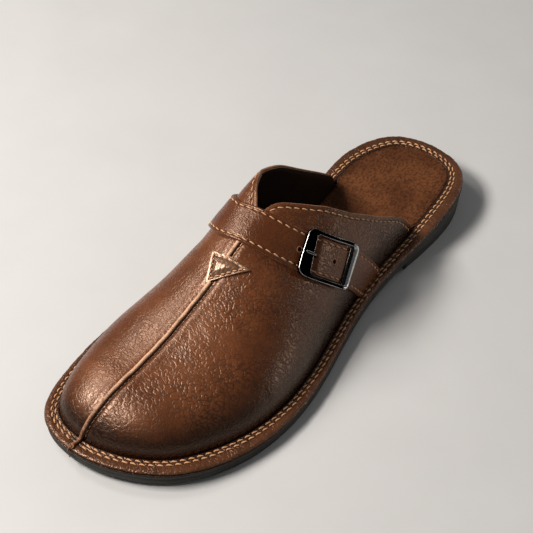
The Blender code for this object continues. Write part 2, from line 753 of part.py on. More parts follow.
def rod(name, centre, half_width, half_height, finish, sides=10):
    """A rod along a line of points, round or flattened."""
    forward = np.gradient(centre, axis=0)
    forward /= np.linalg.norm(forward, axis=-1, keepdims=True)
    out = upper_normal(*strap_place(0.0, 0.0))
    side = np.cross(forward, out)
    side /= np.linalg.norm(side, axis=-1, keepdims=True)
    up = np.cross(side, forward)
    turn = np.arange(sides) / sides * 2 * np.pi
    loops = (centre[:, None] + half_width * np.cos(turn)[None, :, None] * side[:, None]
             + half_height * np.sin(turn)[None, :, None] * up[:, None])
    rows = len(centre)
    faces = [tuple(range(sides)), tuple((rows - 1) * sides + k for k in range(sides))[::-1]]
    for row in range(rows - 1):
        faces += bridge((row + 1) * sides, row * sides, sides)
    made = solid(name, loops.reshape(-1, 3), faces, finish)
    weld(made)
    return made


def make_buckle_prong(finish):
    """From the pin, under the strap, up through its hole and over the near bar."""
    half = PRONG_THICKNESS / 2
    over = FRAME_LIFT + BUCKLE_THICKNESS + GAP + half
    under = GAP + half
    route = table("along lift", [
        (STRAP_TIP - 0.5 * MM, under),
        (HOLE_AT + 2.2 * MM, under),
        (HOLE_AT + 0.4 * MM, under + 0.4 * MM),
        (HOLE_AT, (under + over) / 2),
        (HOLE_AT - 0.4 * MM, over - 0.3 * MM),
        (NEAR_BAR_EDGE - 0.6 * MM, over),
        (NEAR_BAR_EDGE - BUCKLE_NEAR_BAR * 0.7, over),
    ])
    along = np.concatenate([np.linspace(here, after, parts, endpoint=False) for here, after, parts
                            in zip(route["along"], route["along"][1:], (6, 1, 1, 1, 1, 2))])
    along = np.append(along, route["along"][-1])
    centre = on_strap(along, 0.0, np.interp(-along, -route["along"], route["lift"]))
    return rod("buckle_prong", centre, PRONG_WIDTH / 2, half, finish)


def main():
    clear_scene()
    black = material("black_rubber", (0.02, 0.019, 0.017), 0.6)
    brown = material("brown_leather", (0.16, 0.065, 0.03), 0.45)
    tan = material("footbed_leather", (0.2, 0.085, 0.04), 0.7)
    edge = material("raw_edge_leather", (0.38, 0.17, 0.08), 0.55)
    metal = material("dark_nickel", (0.25, 0.25, 0.26), 0.25, 1.0)
    make_outsole(black)
    make_heel(black)
    make_welt(brown)
    make_insole(tan)
    make_upper(brown)
    make_centre_seam(edge)
    make_throat_seam(edge)
    make_patch(brown)
    make_strap(brown)
    make_buckle_strap(brown)
    make_buckle_frame(metal)
    make_buckle_prong(metal)


if __name__ == "__main__":
    main()
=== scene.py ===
# %% [markdown]
# # A left mule in waxed brown leather
#
# A mule is a shoe that is open at the back. This one is made from two halves of soft cowhide
# that meet in a raised seam along the ridge, a stitched welt all the way round, a flat
# footbed, and a strap over the instep that a buckle holds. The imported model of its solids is
# the frame: every dressed piece here takes its place and its size from it.

import bmesh
import bpy
import numpy as np
from mathutils import Matrix, Vector


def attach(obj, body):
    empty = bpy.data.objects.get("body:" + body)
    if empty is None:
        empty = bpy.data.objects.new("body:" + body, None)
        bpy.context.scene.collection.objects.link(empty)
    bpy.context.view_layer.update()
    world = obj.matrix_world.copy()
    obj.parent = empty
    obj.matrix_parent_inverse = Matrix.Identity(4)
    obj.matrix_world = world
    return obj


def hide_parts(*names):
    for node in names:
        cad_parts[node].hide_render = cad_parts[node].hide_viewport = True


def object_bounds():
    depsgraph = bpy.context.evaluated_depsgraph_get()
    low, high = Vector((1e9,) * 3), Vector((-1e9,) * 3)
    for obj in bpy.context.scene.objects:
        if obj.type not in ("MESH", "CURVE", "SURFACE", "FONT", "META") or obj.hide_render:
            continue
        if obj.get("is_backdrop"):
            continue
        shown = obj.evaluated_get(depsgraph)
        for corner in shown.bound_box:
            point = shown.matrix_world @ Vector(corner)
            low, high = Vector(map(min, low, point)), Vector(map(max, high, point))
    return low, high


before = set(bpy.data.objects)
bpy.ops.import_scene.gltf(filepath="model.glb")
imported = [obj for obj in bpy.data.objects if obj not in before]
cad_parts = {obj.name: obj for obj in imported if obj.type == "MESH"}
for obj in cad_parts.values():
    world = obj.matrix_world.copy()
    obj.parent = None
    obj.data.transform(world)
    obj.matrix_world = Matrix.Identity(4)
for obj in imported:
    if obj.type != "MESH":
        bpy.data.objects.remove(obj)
cad_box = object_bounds()
print("solids:", sorted(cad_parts))

# %% [markdown]
# ## The last's sizes
#
# A shoe is built on a last, a wooden foot. Here the last is a few named sizes and short
# tables of shares of them, the same ones that the solids were made from. Curves through the
# tables give the sole's edge and the leather's surface, and a piece is then placed by
# where it lies on that surface, never by loose coordinates.

# %% Sizes of the last
MM = 0.001

# Driving sizes, in metres
LENGTH = 292 * MM
BALL_WIDTH = 111 * MM
HEEL_WIDTH = 76.5 * MM
HEEL_HEIGHT = 10.4 * MM
TOE_SPRING = 3.8 * MM
OUTSOLE_THICKNESS = 5.4 * MM
OUTSOLE_SETBACK = 0.7 * MM
WELT_THICKNESS = 2.8 * MM
WELT_WIDTH = 8.5 * MM
INSOLE_THICKNESS = 3.0 * MM
INSOLE_DISH = 1.2 * MM
UPPER_WALL = 2.0 * MM
INSTEP_HEIGHT = 67 * MM
TOE_ROUNDING = 30 * MM
PATCH_THICKNESS = 1.6 * MM
STRAP_WIDTH = 20.4 * MM
STRAP_THICKNESS = 1.9 * MM
BUCKLE_LENGTH = 36 * MM
BUCKLE_WIDTH = 25.4 * MM
BUCKLE_CORNER = 4 * MM
BUCKLE_INNER_CORNER = 2 * MM
BUCKLE_THICKNESS = 2.0 * MM
BUCKLE_NEAR_BAR = 6.3 * MM
BUCKLE_FAR_BAR = 3.8 * MM
BUCKLE_SIDE_BAR = 2.1 * MM
PIN_DIAMETER = 1.6 * MM
PRONG_THICKNESS = 1.2 * MM
PRONG_WIDTH = 2.0 * MM
PRONG_HOLE = 4.0 * MM
GAP = 0.3 * MM

print(f"last: {LENGTH / MM:.0f} mm long, {BALL_WIDTH / MM:.0f} mm wide at the ball")

# %% [markdown]
# A last maker keeps a form as cards of measures, one for each station along the foot. Each
# table here is such a card. Its rows are shares of the named sizes, so the form holds when a
# size changes, and few rows are enough because a smooth curve is drawn through them.

# %% The sole's outline and side
def table(columns, rows):
    """Rows of numbers as one array for each named column."""
    return dict(zip(columns.split(), np.array(rows, float).T))


# The sole's edge seen from above. The angle runs from the toe, 0, to the heel, 180, and
# along the length as a cosine. Inner and outer are shares of the local width, which goes
# from the ball's to the heel's; the welt's columns are shares of WELT_WIDTH.
OUTLINE = table("angle inner outer welt_inner welt_outer", [
    (0, -0.088, -0.088, 0.92, 0.92),
    (15, -0.282, 0.125, 0.88, 0.95),
    (30, -0.390, 0.330, 0.82, 1.04),
    (45, -0.452, 0.464, 0.82, 1.10),
    (60, -0.483, 0.528, 0.84, 0.95),
    (75, -0.455, 0.533, 0.80, 0.80),
    (90, -0.403, 0.500, 0.74, 0.72),
    (105, -0.401, 0.484, 0.74, 0.72),
    (120, -0.452, 0.508, 0.86, 0.92),
    (135, -0.485, 0.502, 1.02, 1.12),
    (150, -0.421, 0.429, 1.12, 1.05),
    (165, -0.267, 0.269, 1.06, 1.00),
    (180, 0.000, 0.000, 1.00, 1.00),
])

# The sole's bottom seen from the side, from the toe: shares of the two lifts
SOLE_SIDE = table("along spring heel", [
    (0.00, 1.00, 0.00),
    (0.10, 0.40, 0.00),
    (0.21, 0.00, 0.00),
    (0.40, 0.00, 0.00),
    (0.57, 0.00, 0.27),
    (0.726, 0.00, 0.515),
    (0.87, 0.00, 0.96),
    (0.93, 0.00, 1.00),
    (1.00, 0.00, 1.00),
])

# %% The upper's sections and collar
# The upper's cross sections, from the toe. The ridge's place is a share of BALL_WIDTH, its
# height a share of INSTEP_HEIGHT, and the fullness is the power of each side's curve:
# 1 is straight, 2 an ellipse.
SECTIONS = table("along ridge height inner outer", [
    (0.024, -0.088, 0.30, 2.8, 2.2),
    (0.072, -0.068, 0.33, 3.0, 2.2),
    (0.123, -0.060, 0.365, 3.0, 2.2),
    (0.192, -0.051, 0.44, 2.8, 2.1),
    (0.284, -0.040, 0.59, 2.3, 2.0),
    (0.329, -0.036, 0.68, 2.25, 1.8),
    (0.397, -0.030, 0.86, 2.35, 1.6),
    (0.470, -0.030, 0.99, 3.2, 1.5),
    (0.520, -0.030, 1.08, 3.7, 1.5),
    (0.570, -0.030, 1.16, 3.5, 1.62),
    (0.660, -0.030, 1.28, 2.4, 1.8),
    (0.790, -0.030, 1.35, 1.8, 1.8),
])

# The collar's edge: how far along the upper it lies for each place round the section,
# from the ridge, 0, down to the welt, 1
TOPLINE = table("round inner outer", [
    (0.00, 0.468, 0.468),
    (0.04, 0.469, 0.489),
    (0.08, 0.472, 0.500),
    (0.15, 0.484, 0.515),
    (0.22, 0.496, 0.530),
    (0.30, 0.512, 0.547),
    (0.36, 0.529, 0.561),
    (0.42, 0.541, 0.574),
    (0.455, 0.550, 0.582),
    (0.49, 0.563, 0.590),
    (0.525, 0.580, 0.599),
    (0.56, 0.600, 0.608),
    (0.64, 0.641, 0.636),
    (0.72, 0.681, 0.669),
    (0.86, 0.750, 0.741),
    (0.93, 0.779, 0.764),
    (1.00, 0.790, 0.785),
])

# %% The strap's line and the patch's corners
# The middle of the strap over the upper, round from the inner foot line to the outer one
STRAP_LINE = table("round along", [
    (-1.00, 0.596),
    (-0.75, 0.534),
    (-0.45, 0.457),
    (-0.20, 0.437),
    (0.00, 0.440),
    (0.13, 0.449),
    (0.37, 0.478),
    (0.60, 0.522),
    (1.00, 0.625),
])
BUCKLE_ROUND = 0.585

# The patch's three corners on the upper
PATCH_CORNERS = table("round along", [
    (-0.02, 0.331),
    (-0.150, 0.377),
    (0.163, 0.384),
])

# %% [markdown]
# A spline through a table can swing past its rows and put a hump where the last has none.
# The curve through the open tables takes its slopes from the rows on either side, so it
# never does. The sole's outline is closed, and there a plain cubic curve is rounder.

# %% Curves through the tables
def smooth(places, values, at):
    """A smooth curve through a table's rows that never swings past them."""
    step = np.diff(places)
    rise = np.diff(values) / step
    before, after = rise[:-1], rise[1:]
    both = before * after
    middle = np.where(both > 0, 2 * both / np.where(both > 0, before + after, 1), 0)
    slope = np.concatenate([rise[:1], middle, rise[-1:]])
    at = np.clip(at, places[0], places[-1])
    row = np.clip(np.searchsorted(places, at) - 1, 0, len(step) - 1)
    t = (at - places[row]) / step[row]
    return (values[row] * (1 + 2 * t) * (1 - t) ** 2 + values[row + 1] * t ** 2 * (3 - 2 * t)
            + step[row] * t * (1 - t) * (slope[row] * (1 - t) - slope[row + 1] * t))


def closed_curve(values, turns):
    """A smooth closed curve through evenly spaced values, read at shares of a full turn."""
    count = len(values)
    weights = (4 + 2 * np.cos(2 * np.pi * np.arange(count) / count)) / 6
    control = np.real(np.fft.ifft(np.fft.fft(values) / weights))
    place = np.asarray(turns, float) % 1 * count
    first = np.floor(place).astype(int)
    t = place - first
    blends = ((1 - t) ** 3, 3 * t ** 3 - 6 * t ** 2 + 4, -3 * t ** 3 + 3 * t ** 2 + 3 * t + 1, t ** 3)
    return sum(blend * control[(first + k - 1) % count] for k, blend in enumerate(blends)) / 6


def all_round(inner, outer):
    """Both sides' columns as one closed row of values, up the outer side and down the inner."""
    return np.concatenate([outer, inner[-2:0:-1]])


def ease(share):
    """A share from 0 to 1 that starts and ends gently."""
    return share ** 2 * (3 - 2 * share)


# %% [markdown]
# Everything on the sole is placed by a share of a turn round its outline, from the toe, and
# a distance inward from the edge. Heights come from the sole's side view, each layer on top
# of the one below it.

# %% The sole's outline and layers
def side_length(y):
    """Share of the sole's length from the toe."""
    return y / LENGTH + 0.5


def length_at(along):
    """The y of a share of the sole's length."""
    return (along - 0.5) * LENGTH


def sole_bottom(y):
    along = side_length(y)
    return (TOE_SPRING * smooth(SOLE_SIDE["along"], SOLE_SIDE["spring"], along)
            + HEEL_HEIGHT * smooth(SOLE_SIDE["along"], SOLE_SIDE["heel"], along))


def outsole_top(y):
    return sole_bottom(y) + OUTSOLE_THICKNESS


def welt_top(y):
    return outsole_top(y) + GAP + WELT_THICKNESS


def local_width():
    """The width that each row of the outline takes its shares of."""
    toward_heel = np.clip((OUTLINE["angle"] - 60) / 60, 0, 1)
    return BALL_WIDTH + (HEEL_WIDTH - BALL_WIDTH) * ease(toward_heel)


EDGE = all_round(OUTLINE["inner"] * local_width(), OUTLINE["outer"] * local_width())
WELT_EDGE = WELT_WIDTH * all_round(OUTLINE["welt_inner"], OUTLINE["welt_outer"])


def edge_point(turns):
    turns = np.asarray(turns, float)
    return np.stack([closed_curve(EDGE, turns), -LENGTH / 2 * np.cos(2 * np.pi * turns)], -1)


AROUND = edge_point(np.linspace(0, 1, 721))
MIDDLE = (AROUND[:, 0].max() + AROUND[:, 0].min()) / 2


def outline(turns, inset=0.0):
    """The sole's edge, moved inward by inset, at shares of a turn from the toe."""
    turns = np.asarray(turns, float)
    nudge = 1e-4
    along = edge_point(turns + nudge) - edge_point(turns - nudge)
    along /= np.linalg.norm(along, axis=-1, keepdims=True)
    inward = np.stack([-along[..., 1], along[..., 0]], -1)
    place = edge_point(turns) + inward * np.expand_dims(np.asarray(inset, float), -1)
    return place - np.array([MIDDLE, 0.0])


def welt_width(turns):
    return closed_curve(WELT_EDGE, turns)


def ring(turns, inset, height):
    """Points of a closed ring round the sole; height is a function of y."""
    flat = outline(turns, inset)
    return np.column_stack([flat, height(flat[:, 1])])

# %% [markdown]
# The upper is one surface with two coordinates: y, along the shoe, and round, from the inner
# foot line over the ridge to the outer one. Each cross section is a pair of rounded curves,
# full on the inner side and flatter outside, as on a real last. Whatever lies on the leather
# is placed by the same two coordinates.

# %% The upper's surface
# The line where the upper meets the sole, and the ridge over it
FOOT_TURNS = np.linspace(0, 1, 1441)
FOOT_LINE = outline(FOOT_TURNS, welt_width(FOOT_TURNS) + GAP)
TOE_AT = FOOT_LINE[:, 1].argmin()
UPPER_TOE = FOOT_LINE[TOE_AT, 1]
FOOT_LINE = np.roll(FOOT_LINE[:-1], -TOE_AT, axis=0)
HEEL_AT = FOOT_LINE[:, 1].argmax()
OUTER_FOOT = FOOT_LINE[:HEEL_AT + 1]
INNER_FOOT = np.vstack([FOOT_LINE[:1], FOOT_LINE[:HEEL_AT - 1:-1]])


def section(y):
    """One cross section's ridge, foot points, height and fullness, for each y."""
    along = side_length(y)
    ridge = BALL_WIDTH * smooth(SECTIONS["along"], SECTIONS["ridge"], along) - MIDDLE
    near_toe = np.clip((y - UPPER_TOE) / TOE_ROUNDING, 0, 1)
    height = INSTEP_HEIGHT * smooth(SECTIONS["along"], SECTIONS["height"], along)
    height = height * np.sqrt(1 - (1 - near_toe) ** 2)
    outer = np.interp(y, OUTER_FOOT[:, 1], OUTER_FOOT[:, 0])
    inner = np.interp(y, INNER_FOOT[:, 1], INNER_FOOT[:, 0])
    ridge = np.clip(ridge, inner, outer)
    fullness = [smooth(SECTIONS["along"], SECTIONS[side], along) for side in ("inner", "outer")]
    return ridge, inner, outer, height, fullness


def upper_point(y, round_):
    """The upper's outer surface. round_ is -1 at the inner foot line, 0 on the ridge, 1 outside."""
    y, round_ = np.broadcast_arrays(np.asarray(y, float), np.asarray(round_, float))
    ridge, inner, outer, height, (inner_power, outer_power) = section(y)
    turn = np.abs(round_) * np.pi / 2
    power = np.where(round_ < 0, inner_power, outer_power)
    across, up = np.sin(turn), np.cos(turn)
    reach = (np.abs(across) ** power + np.abs(up) ** power) ** (1 / power)
    side = np.where(round_ < 0, inner, outer)
    x = ridge + (side - ridge) * across / reach
    z = outsole_top(y) + GAP + height * up / reach
    return np.stack([x, y, z], -1)


# %% Directions on the upper, and its edge
def upper_normal(y, round_):
    """The outward direction of the upper's surface, level where it meets the sole."""
    y, round_ = np.broadcast_arrays(np.asarray(y, float), np.asarray(round_, float))
    step_y, step_round = 0.2 * MM, 0.004
    y_in = np.maximum(y, UPPER_TOE + 2 * step_y)
    low, high = np.clip(round_ - step_round, -1, 1), np.clip(round_ + step_round, -1, 1)
    across = upper_point(y_in, high) - upper_point(y_in, low)
    along = upper_point(y_in + step_y, round_) - upper_point(y_in - step_y, round_)
    out = np.cross(across, along)
    above = upper_point(y_in, round_)[..., 2] - outsole_top(y_in) - GAP
    out[..., 2] *= np.clip(above / WELT_THICKNESS, 0, 1)
    out = np.where((y > UPPER_TOE)[..., None], out, [0, -1, 0])
    return out / np.linalg.norm(out, axis=-1, keepdims=True)


def on_upper(y, round_, lift=0.0):
    """A point lifted off the upper's surface, or sunk into it where lift is below zero."""
    return upper_point(y, round_) + upper_normal(y, round_) * np.expand_dims(np.asarray(lift, float), -1)


def topline(round_):
    """How far back the upper reaches at each place round its section."""
    sides = [smooth(TOPLINE["round"], TOPLINE[side], np.abs(round_)) for side in ("inner", "outer")]
    return length_at(np.where(round_ < 0, *sides))


def lengths_along(points):
    return np.concatenate([[0], np.cumsum(np.linalg.norm(np.diff(points, axis=0), axis=-1))])

# %% [markdown]
# The strap and the buckle are placed by a length along the strap and one across it, as a
# saddler measures. A point across the strap starts square to its middle line, and is then
# settled on to the upper by a few steps of least squares.

# %% Places along the strap
STRAP_ROUND = np.linspace(-1, 1, 801)
STRAP_Y = length_at(smooth(STRAP_LINE["round"], STRAP_LINE["along"], STRAP_ROUND))
STRAP_LENGTHS = lengths_along(upper_point(STRAP_Y, STRAP_ROUND))
STRAP_LENGTHS -= np.interp(BUCKLE_ROUND, STRAP_ROUND, STRAP_LENGTHS)


def settle(target, y, round_):
    """The place on the upper that is nearest to a point in space, from a first guess."""
    step_y, step_round = 0.3 * MM, 0.003
    for _ in range(6):
        miss = target - upper_point(y, round_)
        by_y = (upper_point(y + step_y, round_) - upper_point(y - step_y, round_)) / (2 * step_y)
        by_round = upper_point(y, round_ + step_round) - upper_point(y, round_ - step_round)
        by_round = by_round / (2 * step_round)
        yy, rr, yr = (np.sum(p * q, -1) for p, q in ((by_y, by_y), (by_round, by_round), (by_y, by_round)))
        my, mr = np.sum(by_y * miss, -1), np.sum(by_round * miss, -1)
        spread = yy * rr - yr ** 2
        y = y + (rr * my - yr * mr) / spread
        round_ = np.clip(round_ + (yy * mr - yr * my) / spread, -1, 1)
    return y, round_


def strap_place(along, across):
    """The place (y, round) on the upper at a length along the strap from the buckle's middle,
    toward the outer side, and a length across it, toward the heel."""
    along, across = np.broadcast_arrays(np.asarray(along, float), np.asarray(across, float))
    y, round_ = (np.interp(along, STRAP_LENGTHS, values) for values in (STRAP_Y, STRAP_ROUND))
    start = upper_point(y, round_)
    ahead = [np.interp(along + step, STRAP_LENGTHS, values)
             for step in (-2 * MM, 2 * MM) for values in (STRAP_Y, STRAP_ROUND)]
    forward = upper_point(*ahead[2:]) - upper_point(*ahead[:2])
    sideways = np.cross(upper_normal(y, round_), forward)
    sideways /= np.linalg.norm(sideways, axis=-1, keepdims=True)
    target = start + sideways * across[..., None]
    return settle(target, y, round_)


def on_strap(along, across, lift):
    return on_upper(*strap_place(along, across), lift)


def strap_end(across, outer_side):
    """How far along the strap reaches, at a length across it, before it meets the welt."""
    toward = STRAP_LENGTHS[-1] if outer_side else STRAP_LENGTHS[0]
    along = np.linspace(0.4, 1, 60) * toward
    y, round_ = strap_place(along, across)
    above = upper_point(y, round_)[:, 2] - welt_top(y) - GAP
    return np.interp(0, -above, along)


# %% The buckle's places along the strap
NEAR_BAR_EDGE = -BUCKLE_LENGTH / 2 + BUCKLE_NEAR_BAR
FAR_BAR_EDGE = BUCKLE_LENGTH / 2 - BUCKLE_FAR_BAR
PIN_AT = FAR_BAR_EDGE - 1.2 * MM - PIN_DIAMETER / 2
HOLE_AT = NEAR_BAR_EDGE + PRONG_HOLE / 2
STRAP_TIP = PIN_AT - PIN_DIAMETER / 2 - GAP
FRAME_LIFT = 3 * GAP + STRAP_THICKNESS
PIN_LIFT = FRAME_LIFT + BUCKLE_THICKNESS / 2


def strap_lift(along):
    """The strap lies on the upper, and on the prong once it is past the hole."""
    share = np.clip((along - NEAR_BAR_EDGE - GAP) / PRONG_HOLE, 0, 1)
    return GAP + (PRONG_THICKNESS + GAP) * share ** 2 * (3 - 2 * share)


print(f"strap: {(STRAP_LENGTHS[-1] - STRAP_LENGTHS[0]) / MM:.0f} mm from welt to welt")

# %% [markdown]
# ## The camera
#
# The camera stands to the outer side of the toe, high up and not quite three quarters of a
# metre away, and turns so that the one shoe sits in the middle.

# %% Camera
CAMERA_PLACE = Vector((319.2, -397.4, 529.4)) * MM
CAMERA_AIM = Vector((-12, 2, 22)) * MM
CAMERA_LENS = 92
CAMERA_SENSOR = 36
CAMERA_ROLL = -0.2

camera = bpy.data.objects.new("camera", bpy.data.cameras.new("camera"))
bpy.context.collection.objects.link(camera)
facing = (CAMERA_AIM - CAMERA_PLACE).to_track_quat("-Z", "Y").to_matrix().to_4x4()
roll = Matrix.Rotation(np.radians(CAMERA_ROLL), 4, "Z")
camera.matrix_world = Matrix.Translation(CAMERA_PLACE) @ facing @ roll
camera.data.lens = CAMERA_LENS
camera.data.sensor_width = CAMERA_SENSOR
bpy.context.scene.camera = camera
print(f"camera: {(CAMERA_AIM - CAMERA_PLACE).length / MM:.0f} mm from the shoe")

# %% [markdown]
# ## Shader maths
#
# A finish is a tree of nodes. Written as nodes it is long, so two small classes let it be
# written as arithmetic: a Wire is one output that can be added and multiplied, and a Finish
# is a material whose node() method makes any node from its settings and its sockets.

# %% Wires and finishes
class Wire:
    """One output of a node. Arithmetic on it adds Math nodes to its finish."""

    def __init__(self, finish, socket):
        self.finish, self.socket = finish, socket

    def maths(self, operation, *values):
        return self.finish.node("ShaderNodeMath", {"operation": operation}, dict(enumerate(values)))

    def __add__(self, other):
        return self.maths("ADD", self, other)

    def __sub__(self, other):
        return self.maths("SUBTRACT", self, other)

    def __rsub__(self, other):
        return self.maths("SUBTRACT", other, self)

    def __mul__(self, other):
        return self.maths("MULTIPLY", self, other)

    def at_most(self, other):
        return self.maths("MINIMUM", self, other)

    __radd__, __rmul__ = __add__, __mul__

    def between(self, low, high):
        """0 below low, 1 above high, smooth between them."""
        return self.finish.node("ShaderNodeMapRange", {"interpolation_type": "SMOOTHSTEP"},
                                {"Value": self, "From Min": low, "From Max": high})


# %% [markdown]
# A finish holds one Principled shader. Its other methods are named for what a finisher
# thinks of: clouds of colour, pebbles, a mark that was written on the mesh, a blend of two
# shades, and a relief.

# %% Finishes and their nodes
class Finish:
    """A material with one Principled shader, and the ways to wire it."""

    def __init__(self, name, **constants):
        self.material = bpy.data.materials.new(name)
        self.material.use_nodes = True
        self.tree = self.material.node_tree
        self.shader = self.tree.nodes["Principled BSDF"]
        for socket, value in constants.items():
            self.plug(self.shader.inputs[socket.replace("_", " ")], value)

    def plug(self, socket, value):
        if isinstance(value, Wire):
            self.tree.links.new(value.socket, socket)
        else:
            socket.default_value = value

    def node(self, kind, settings=None, sockets=None, output=0):
        made = self.tree.nodes.new(kind)
        for name, value in (settings or {}).items():
            if name == "stops":
                self.set_stops(made.color_ramp.elements, value)
            else:
                setattr(made, name, value)
        for name, value in (sockets or {}).items():
            self.plug(made.inputs[name], value)
        return Wire(self, made.outputs[output])

    def set_stops(self, elements, stops):
        for place, _ in stops[2:]:
            elements.new(place)
        for element, (place, colour) in zip(elements, stops):
            element.position, element.color = place, (*colour, 1)

    def place(self, stretch=(1, 1, 1)):
        """Where on the shoe a point is, in millimetres, squeezed by stretch."""
        here = self.node("ShaderNodeTexCoord", output="Object")
        return self.node("ShaderNodeVectorMath", {"operation": "MULTIPLY"},
                         {0: here, 1: tuple(share / MM for share in stretch)})

    def noise(self, place, size, detail=2.0, roughness=0.5, output="Fac"):
        """Cloudy variation whose patches are about size millimetres across."""
        return self.node("ShaderNodeTexNoise", None, {
            "Vector": place, "Scale": 1 / size, "Detail": detail, "Roughness": roughness}, output)

    def warped(self, place, size, reach):
        """The same place, pushed about by up to reach millimetres."""
        push = self.noise(place, size, 2.0, output="Color")
        centred = self.node("ShaderNodeVectorMath", {"operation": "SUBTRACT"}, {0: push, 1: (0.5, 0.5, 0.5)})
        return self.node("ShaderNodeVectorMath", {"operation": "MULTIPLY_ADD"},
                         {0: centred, 1: (2 * reach, 2 * reach, 2 * reach), 2: place})

    def pebbles(self, place, size):
        """Pebbles about size millimetres across: 0 in the winding valleys, 1 on top."""
        level = self.noise(place, size, 1.0, 0.4) - 0.5
        away = self.node("ShaderNodeMath", {"operation": "ABSOLUTE"}, {0: level})
        return away.between(-0.02, 0.13)

    def mark(self, name):
        """A value that was written on the mesh's points."""
        return self.node("ShaderNodeAttribute", {"attribute_name": name}, output="Fac")

    def blend(self, share, first, second):
        """A colour between two colours."""
        colours = [(*value, 1) if isinstance(value, tuple) else value for value in (first, second)]
        return self.node("ShaderNodeMix", {"data_type": "RGBA"},
                         {0: share, 6: colours[0], 7: colours[1]}, output=2)

    def relief(self, height):
        """Bumps from a height in millimetres."""
        self.plug(self.shader.inputs["Normal"],
                  self.node("ShaderNodeBump", None, {"Height": height, "Distance": MM, "Strength": 1.0}))

    def paint(self, **wires):
        for socket, value in wires.items():
            self.plug(self.shader.inputs[socket.replace("_", " ")], value)


# %% [markdown]
# ## Finishes
#
# Waxed leather is pebbled where the hide was loose, and smooth where the last stretched it.
# Wax and dirt settle in the valleys, and hands polish the tops; the valleys are darker for
# that wax and also as painted shade. Points low on the sides and round the toe carry a darker
# burnish, and painted shade darkens the outer side and the grooves and corners where parts
# meet, so the meshes bring two marks with them: "burnish" darkens, and "grain"
# says how strongly the pebbles stand up.

# %% Leather
WAX_TINT = (1.0, 0.70, 0.52, 1.0)
HIDE_STRETCH = (0.8, 1.0, 1.0)
SMALL_STRETCH = (1.3, 0.9, 1.1)


def leather(name, shade, deep, bright, pebble, depth, roughness, gloss, index=1.5):
    """Waxed brown hide: its three shades, the size and height of its pebbles, and its gloss."""
    finish = Finish(name, Specular_IOR_Level=gloss, Specular_Tint=WAX_TINT, IOR=index)
    place = finish.place(HIDE_STRETCH)
    pebbles = finish.pebbles(place, pebble)
    small = finish.pebbles(finish.place(SMALL_STRETCH), pebble * 0.55)
    clouds = finish.noise(place, 26, 3.0, 0.55)
    mottle = finish.noise(place, 6, 3.0, 0.6)
    grain = finish.mark("grain")
    burnish = finish.mark("burnish")
    loose = (finish.noise(place, 17, 1.0).between(0.3, 0.7) * 0.55 + 0.45) * grain
    valleys = 1 - pebbles
    colour = finish.blend(clouds.between(0.34, 0.66), shade, bright)
    colour = finish.blend(mottle.between(0.42, 0.72) * 0.5, colour, shade)
    # Painted shade: the pebbles' valleys are darkened on top of the wax in them, and so is everything that
    # the burnish mark carries.
    dark = (burnish + valleys * loose * 0.60 + (1 - small) * 0.16).at_most(1.0)
    finish.paint(Base_Color=finish.blend(dark, colour, deep),
                 Roughness=clouds * 0.10 + valleys * 0.16 + mottle * 0.08 + (roughness - 0.1))
    height = pebbles * loose * depth + small * (depth * 0.13) + mottle * 0.12
    finish.relief(height + finish.noise(place, 0.45, 2.0) * (depth * 0.05))
    return finish.material


upper_leather = leather("waxed_upper_leather", (0.108, 0.031, 0.0100), (0.013, 0.0038, 0.0016),
                        (0.172, 0.055, 0.0185), pebble=2.4, depth=0.18, roughness=0.27, gloss=0.64)
strap_leather = leather("strap_leather", (0.090, 0.025, 0.0078), (0.013, 0.0038, 0.0015),
                        (0.132, 0.039, 0.0125), pebble=1.9, depth=0.15, roughness=0.26, gloss=0.58)
patch_leather = leather("polished_patch_leather", (0.110, 0.046, 0.020), (0.016, 0.006, 0.003),
                        (0.180, 0.082, 0.040), pebble=1.6, depth=0.07, roughness=0.29, gloss=1.0, index=1.85)
welt_leather = leather("welt_leather", (0.080, 0.027, 0.0105), (0.014, 0.005, 0.0025),
                       (0.125, 0.045, 0.018), pebble=1.9, depth=0.19, roughness=0.26, gloss=0.72)

# %% [markdown]
# Where hide is cut, its pale fibres show. The cut edges and the seam's folded lip are tan
# with fine lengthwise streaks, the footbed is a napped reddish brown with worn clouds, and
# the lining is a dark, quiet leather whose near black colour is painted shade inside the upper.

# %% Cut edges, seam, footbed and lining
def cut_edge(name, shade, deep):
    finish = Finish(name, Specular_IOR_Level=0.35)
    place = finish.place()
    fibres = finish.noise(place, 0.7, 4.0, 0.65)
    clouds = finish.noise(place, 7, 2.0)
    streaks = fibres.between(0.40, 0.70) * 0.5 + clouds.between(0.45, 0.75) * 0.45
    dark = (streaks + finish.mark("burnish")).at_most(1.0)
    finish.paint(Base_Color=finish.blend(dark, shade, deep), Roughness=fibres * 0.25 + 0.45)
    finish.relief(fibres * 0.16 + clouds * 0.12)
    return finish.material


raw_edge = cut_edge("raw_leather_edge", (0.34, 0.155, 0.075), (0.12, 0.046, 0.021))
seam_lip = cut_edge("seam_lip_leather", (0.78, 0.45, 0.28), (0.16, 0.062, 0.028))


def napped(name, shade, deep, bright, nap):
    finish = Finish(name, Specular_IOR_Level=0.16, Specular_Tint=WAX_TINT)
    place = finish.place()
    clouds = finish.noise(finish.warped(place, 30, 14), 24, 4.0, 0.6)
    flecks = finish.noise(finish.place((1.0, 0.7, 1.0)), 1.3, 4.0, 0.7)
    colour = finish.blend(clouds.between(0.36, 0.66), shade, bright)
    dark = (flecks.between(0.44, 0.62) * 0.62 + finish.mark("burnish")).at_most(1.0)
    finish.paint(Base_Color=finish.blend(dark, colour, deep), Roughness=flecks * 0.2 + 0.55)
    finish.relief(flecks * nap + clouds * 0.5)
    return finish.material


footbed_suede = napped("footbed_suede", (0.090, 0.030, 0.011), (0.018, 0.006, 0.003),
                       (0.150, 0.053, 0.019), nap=0.30)
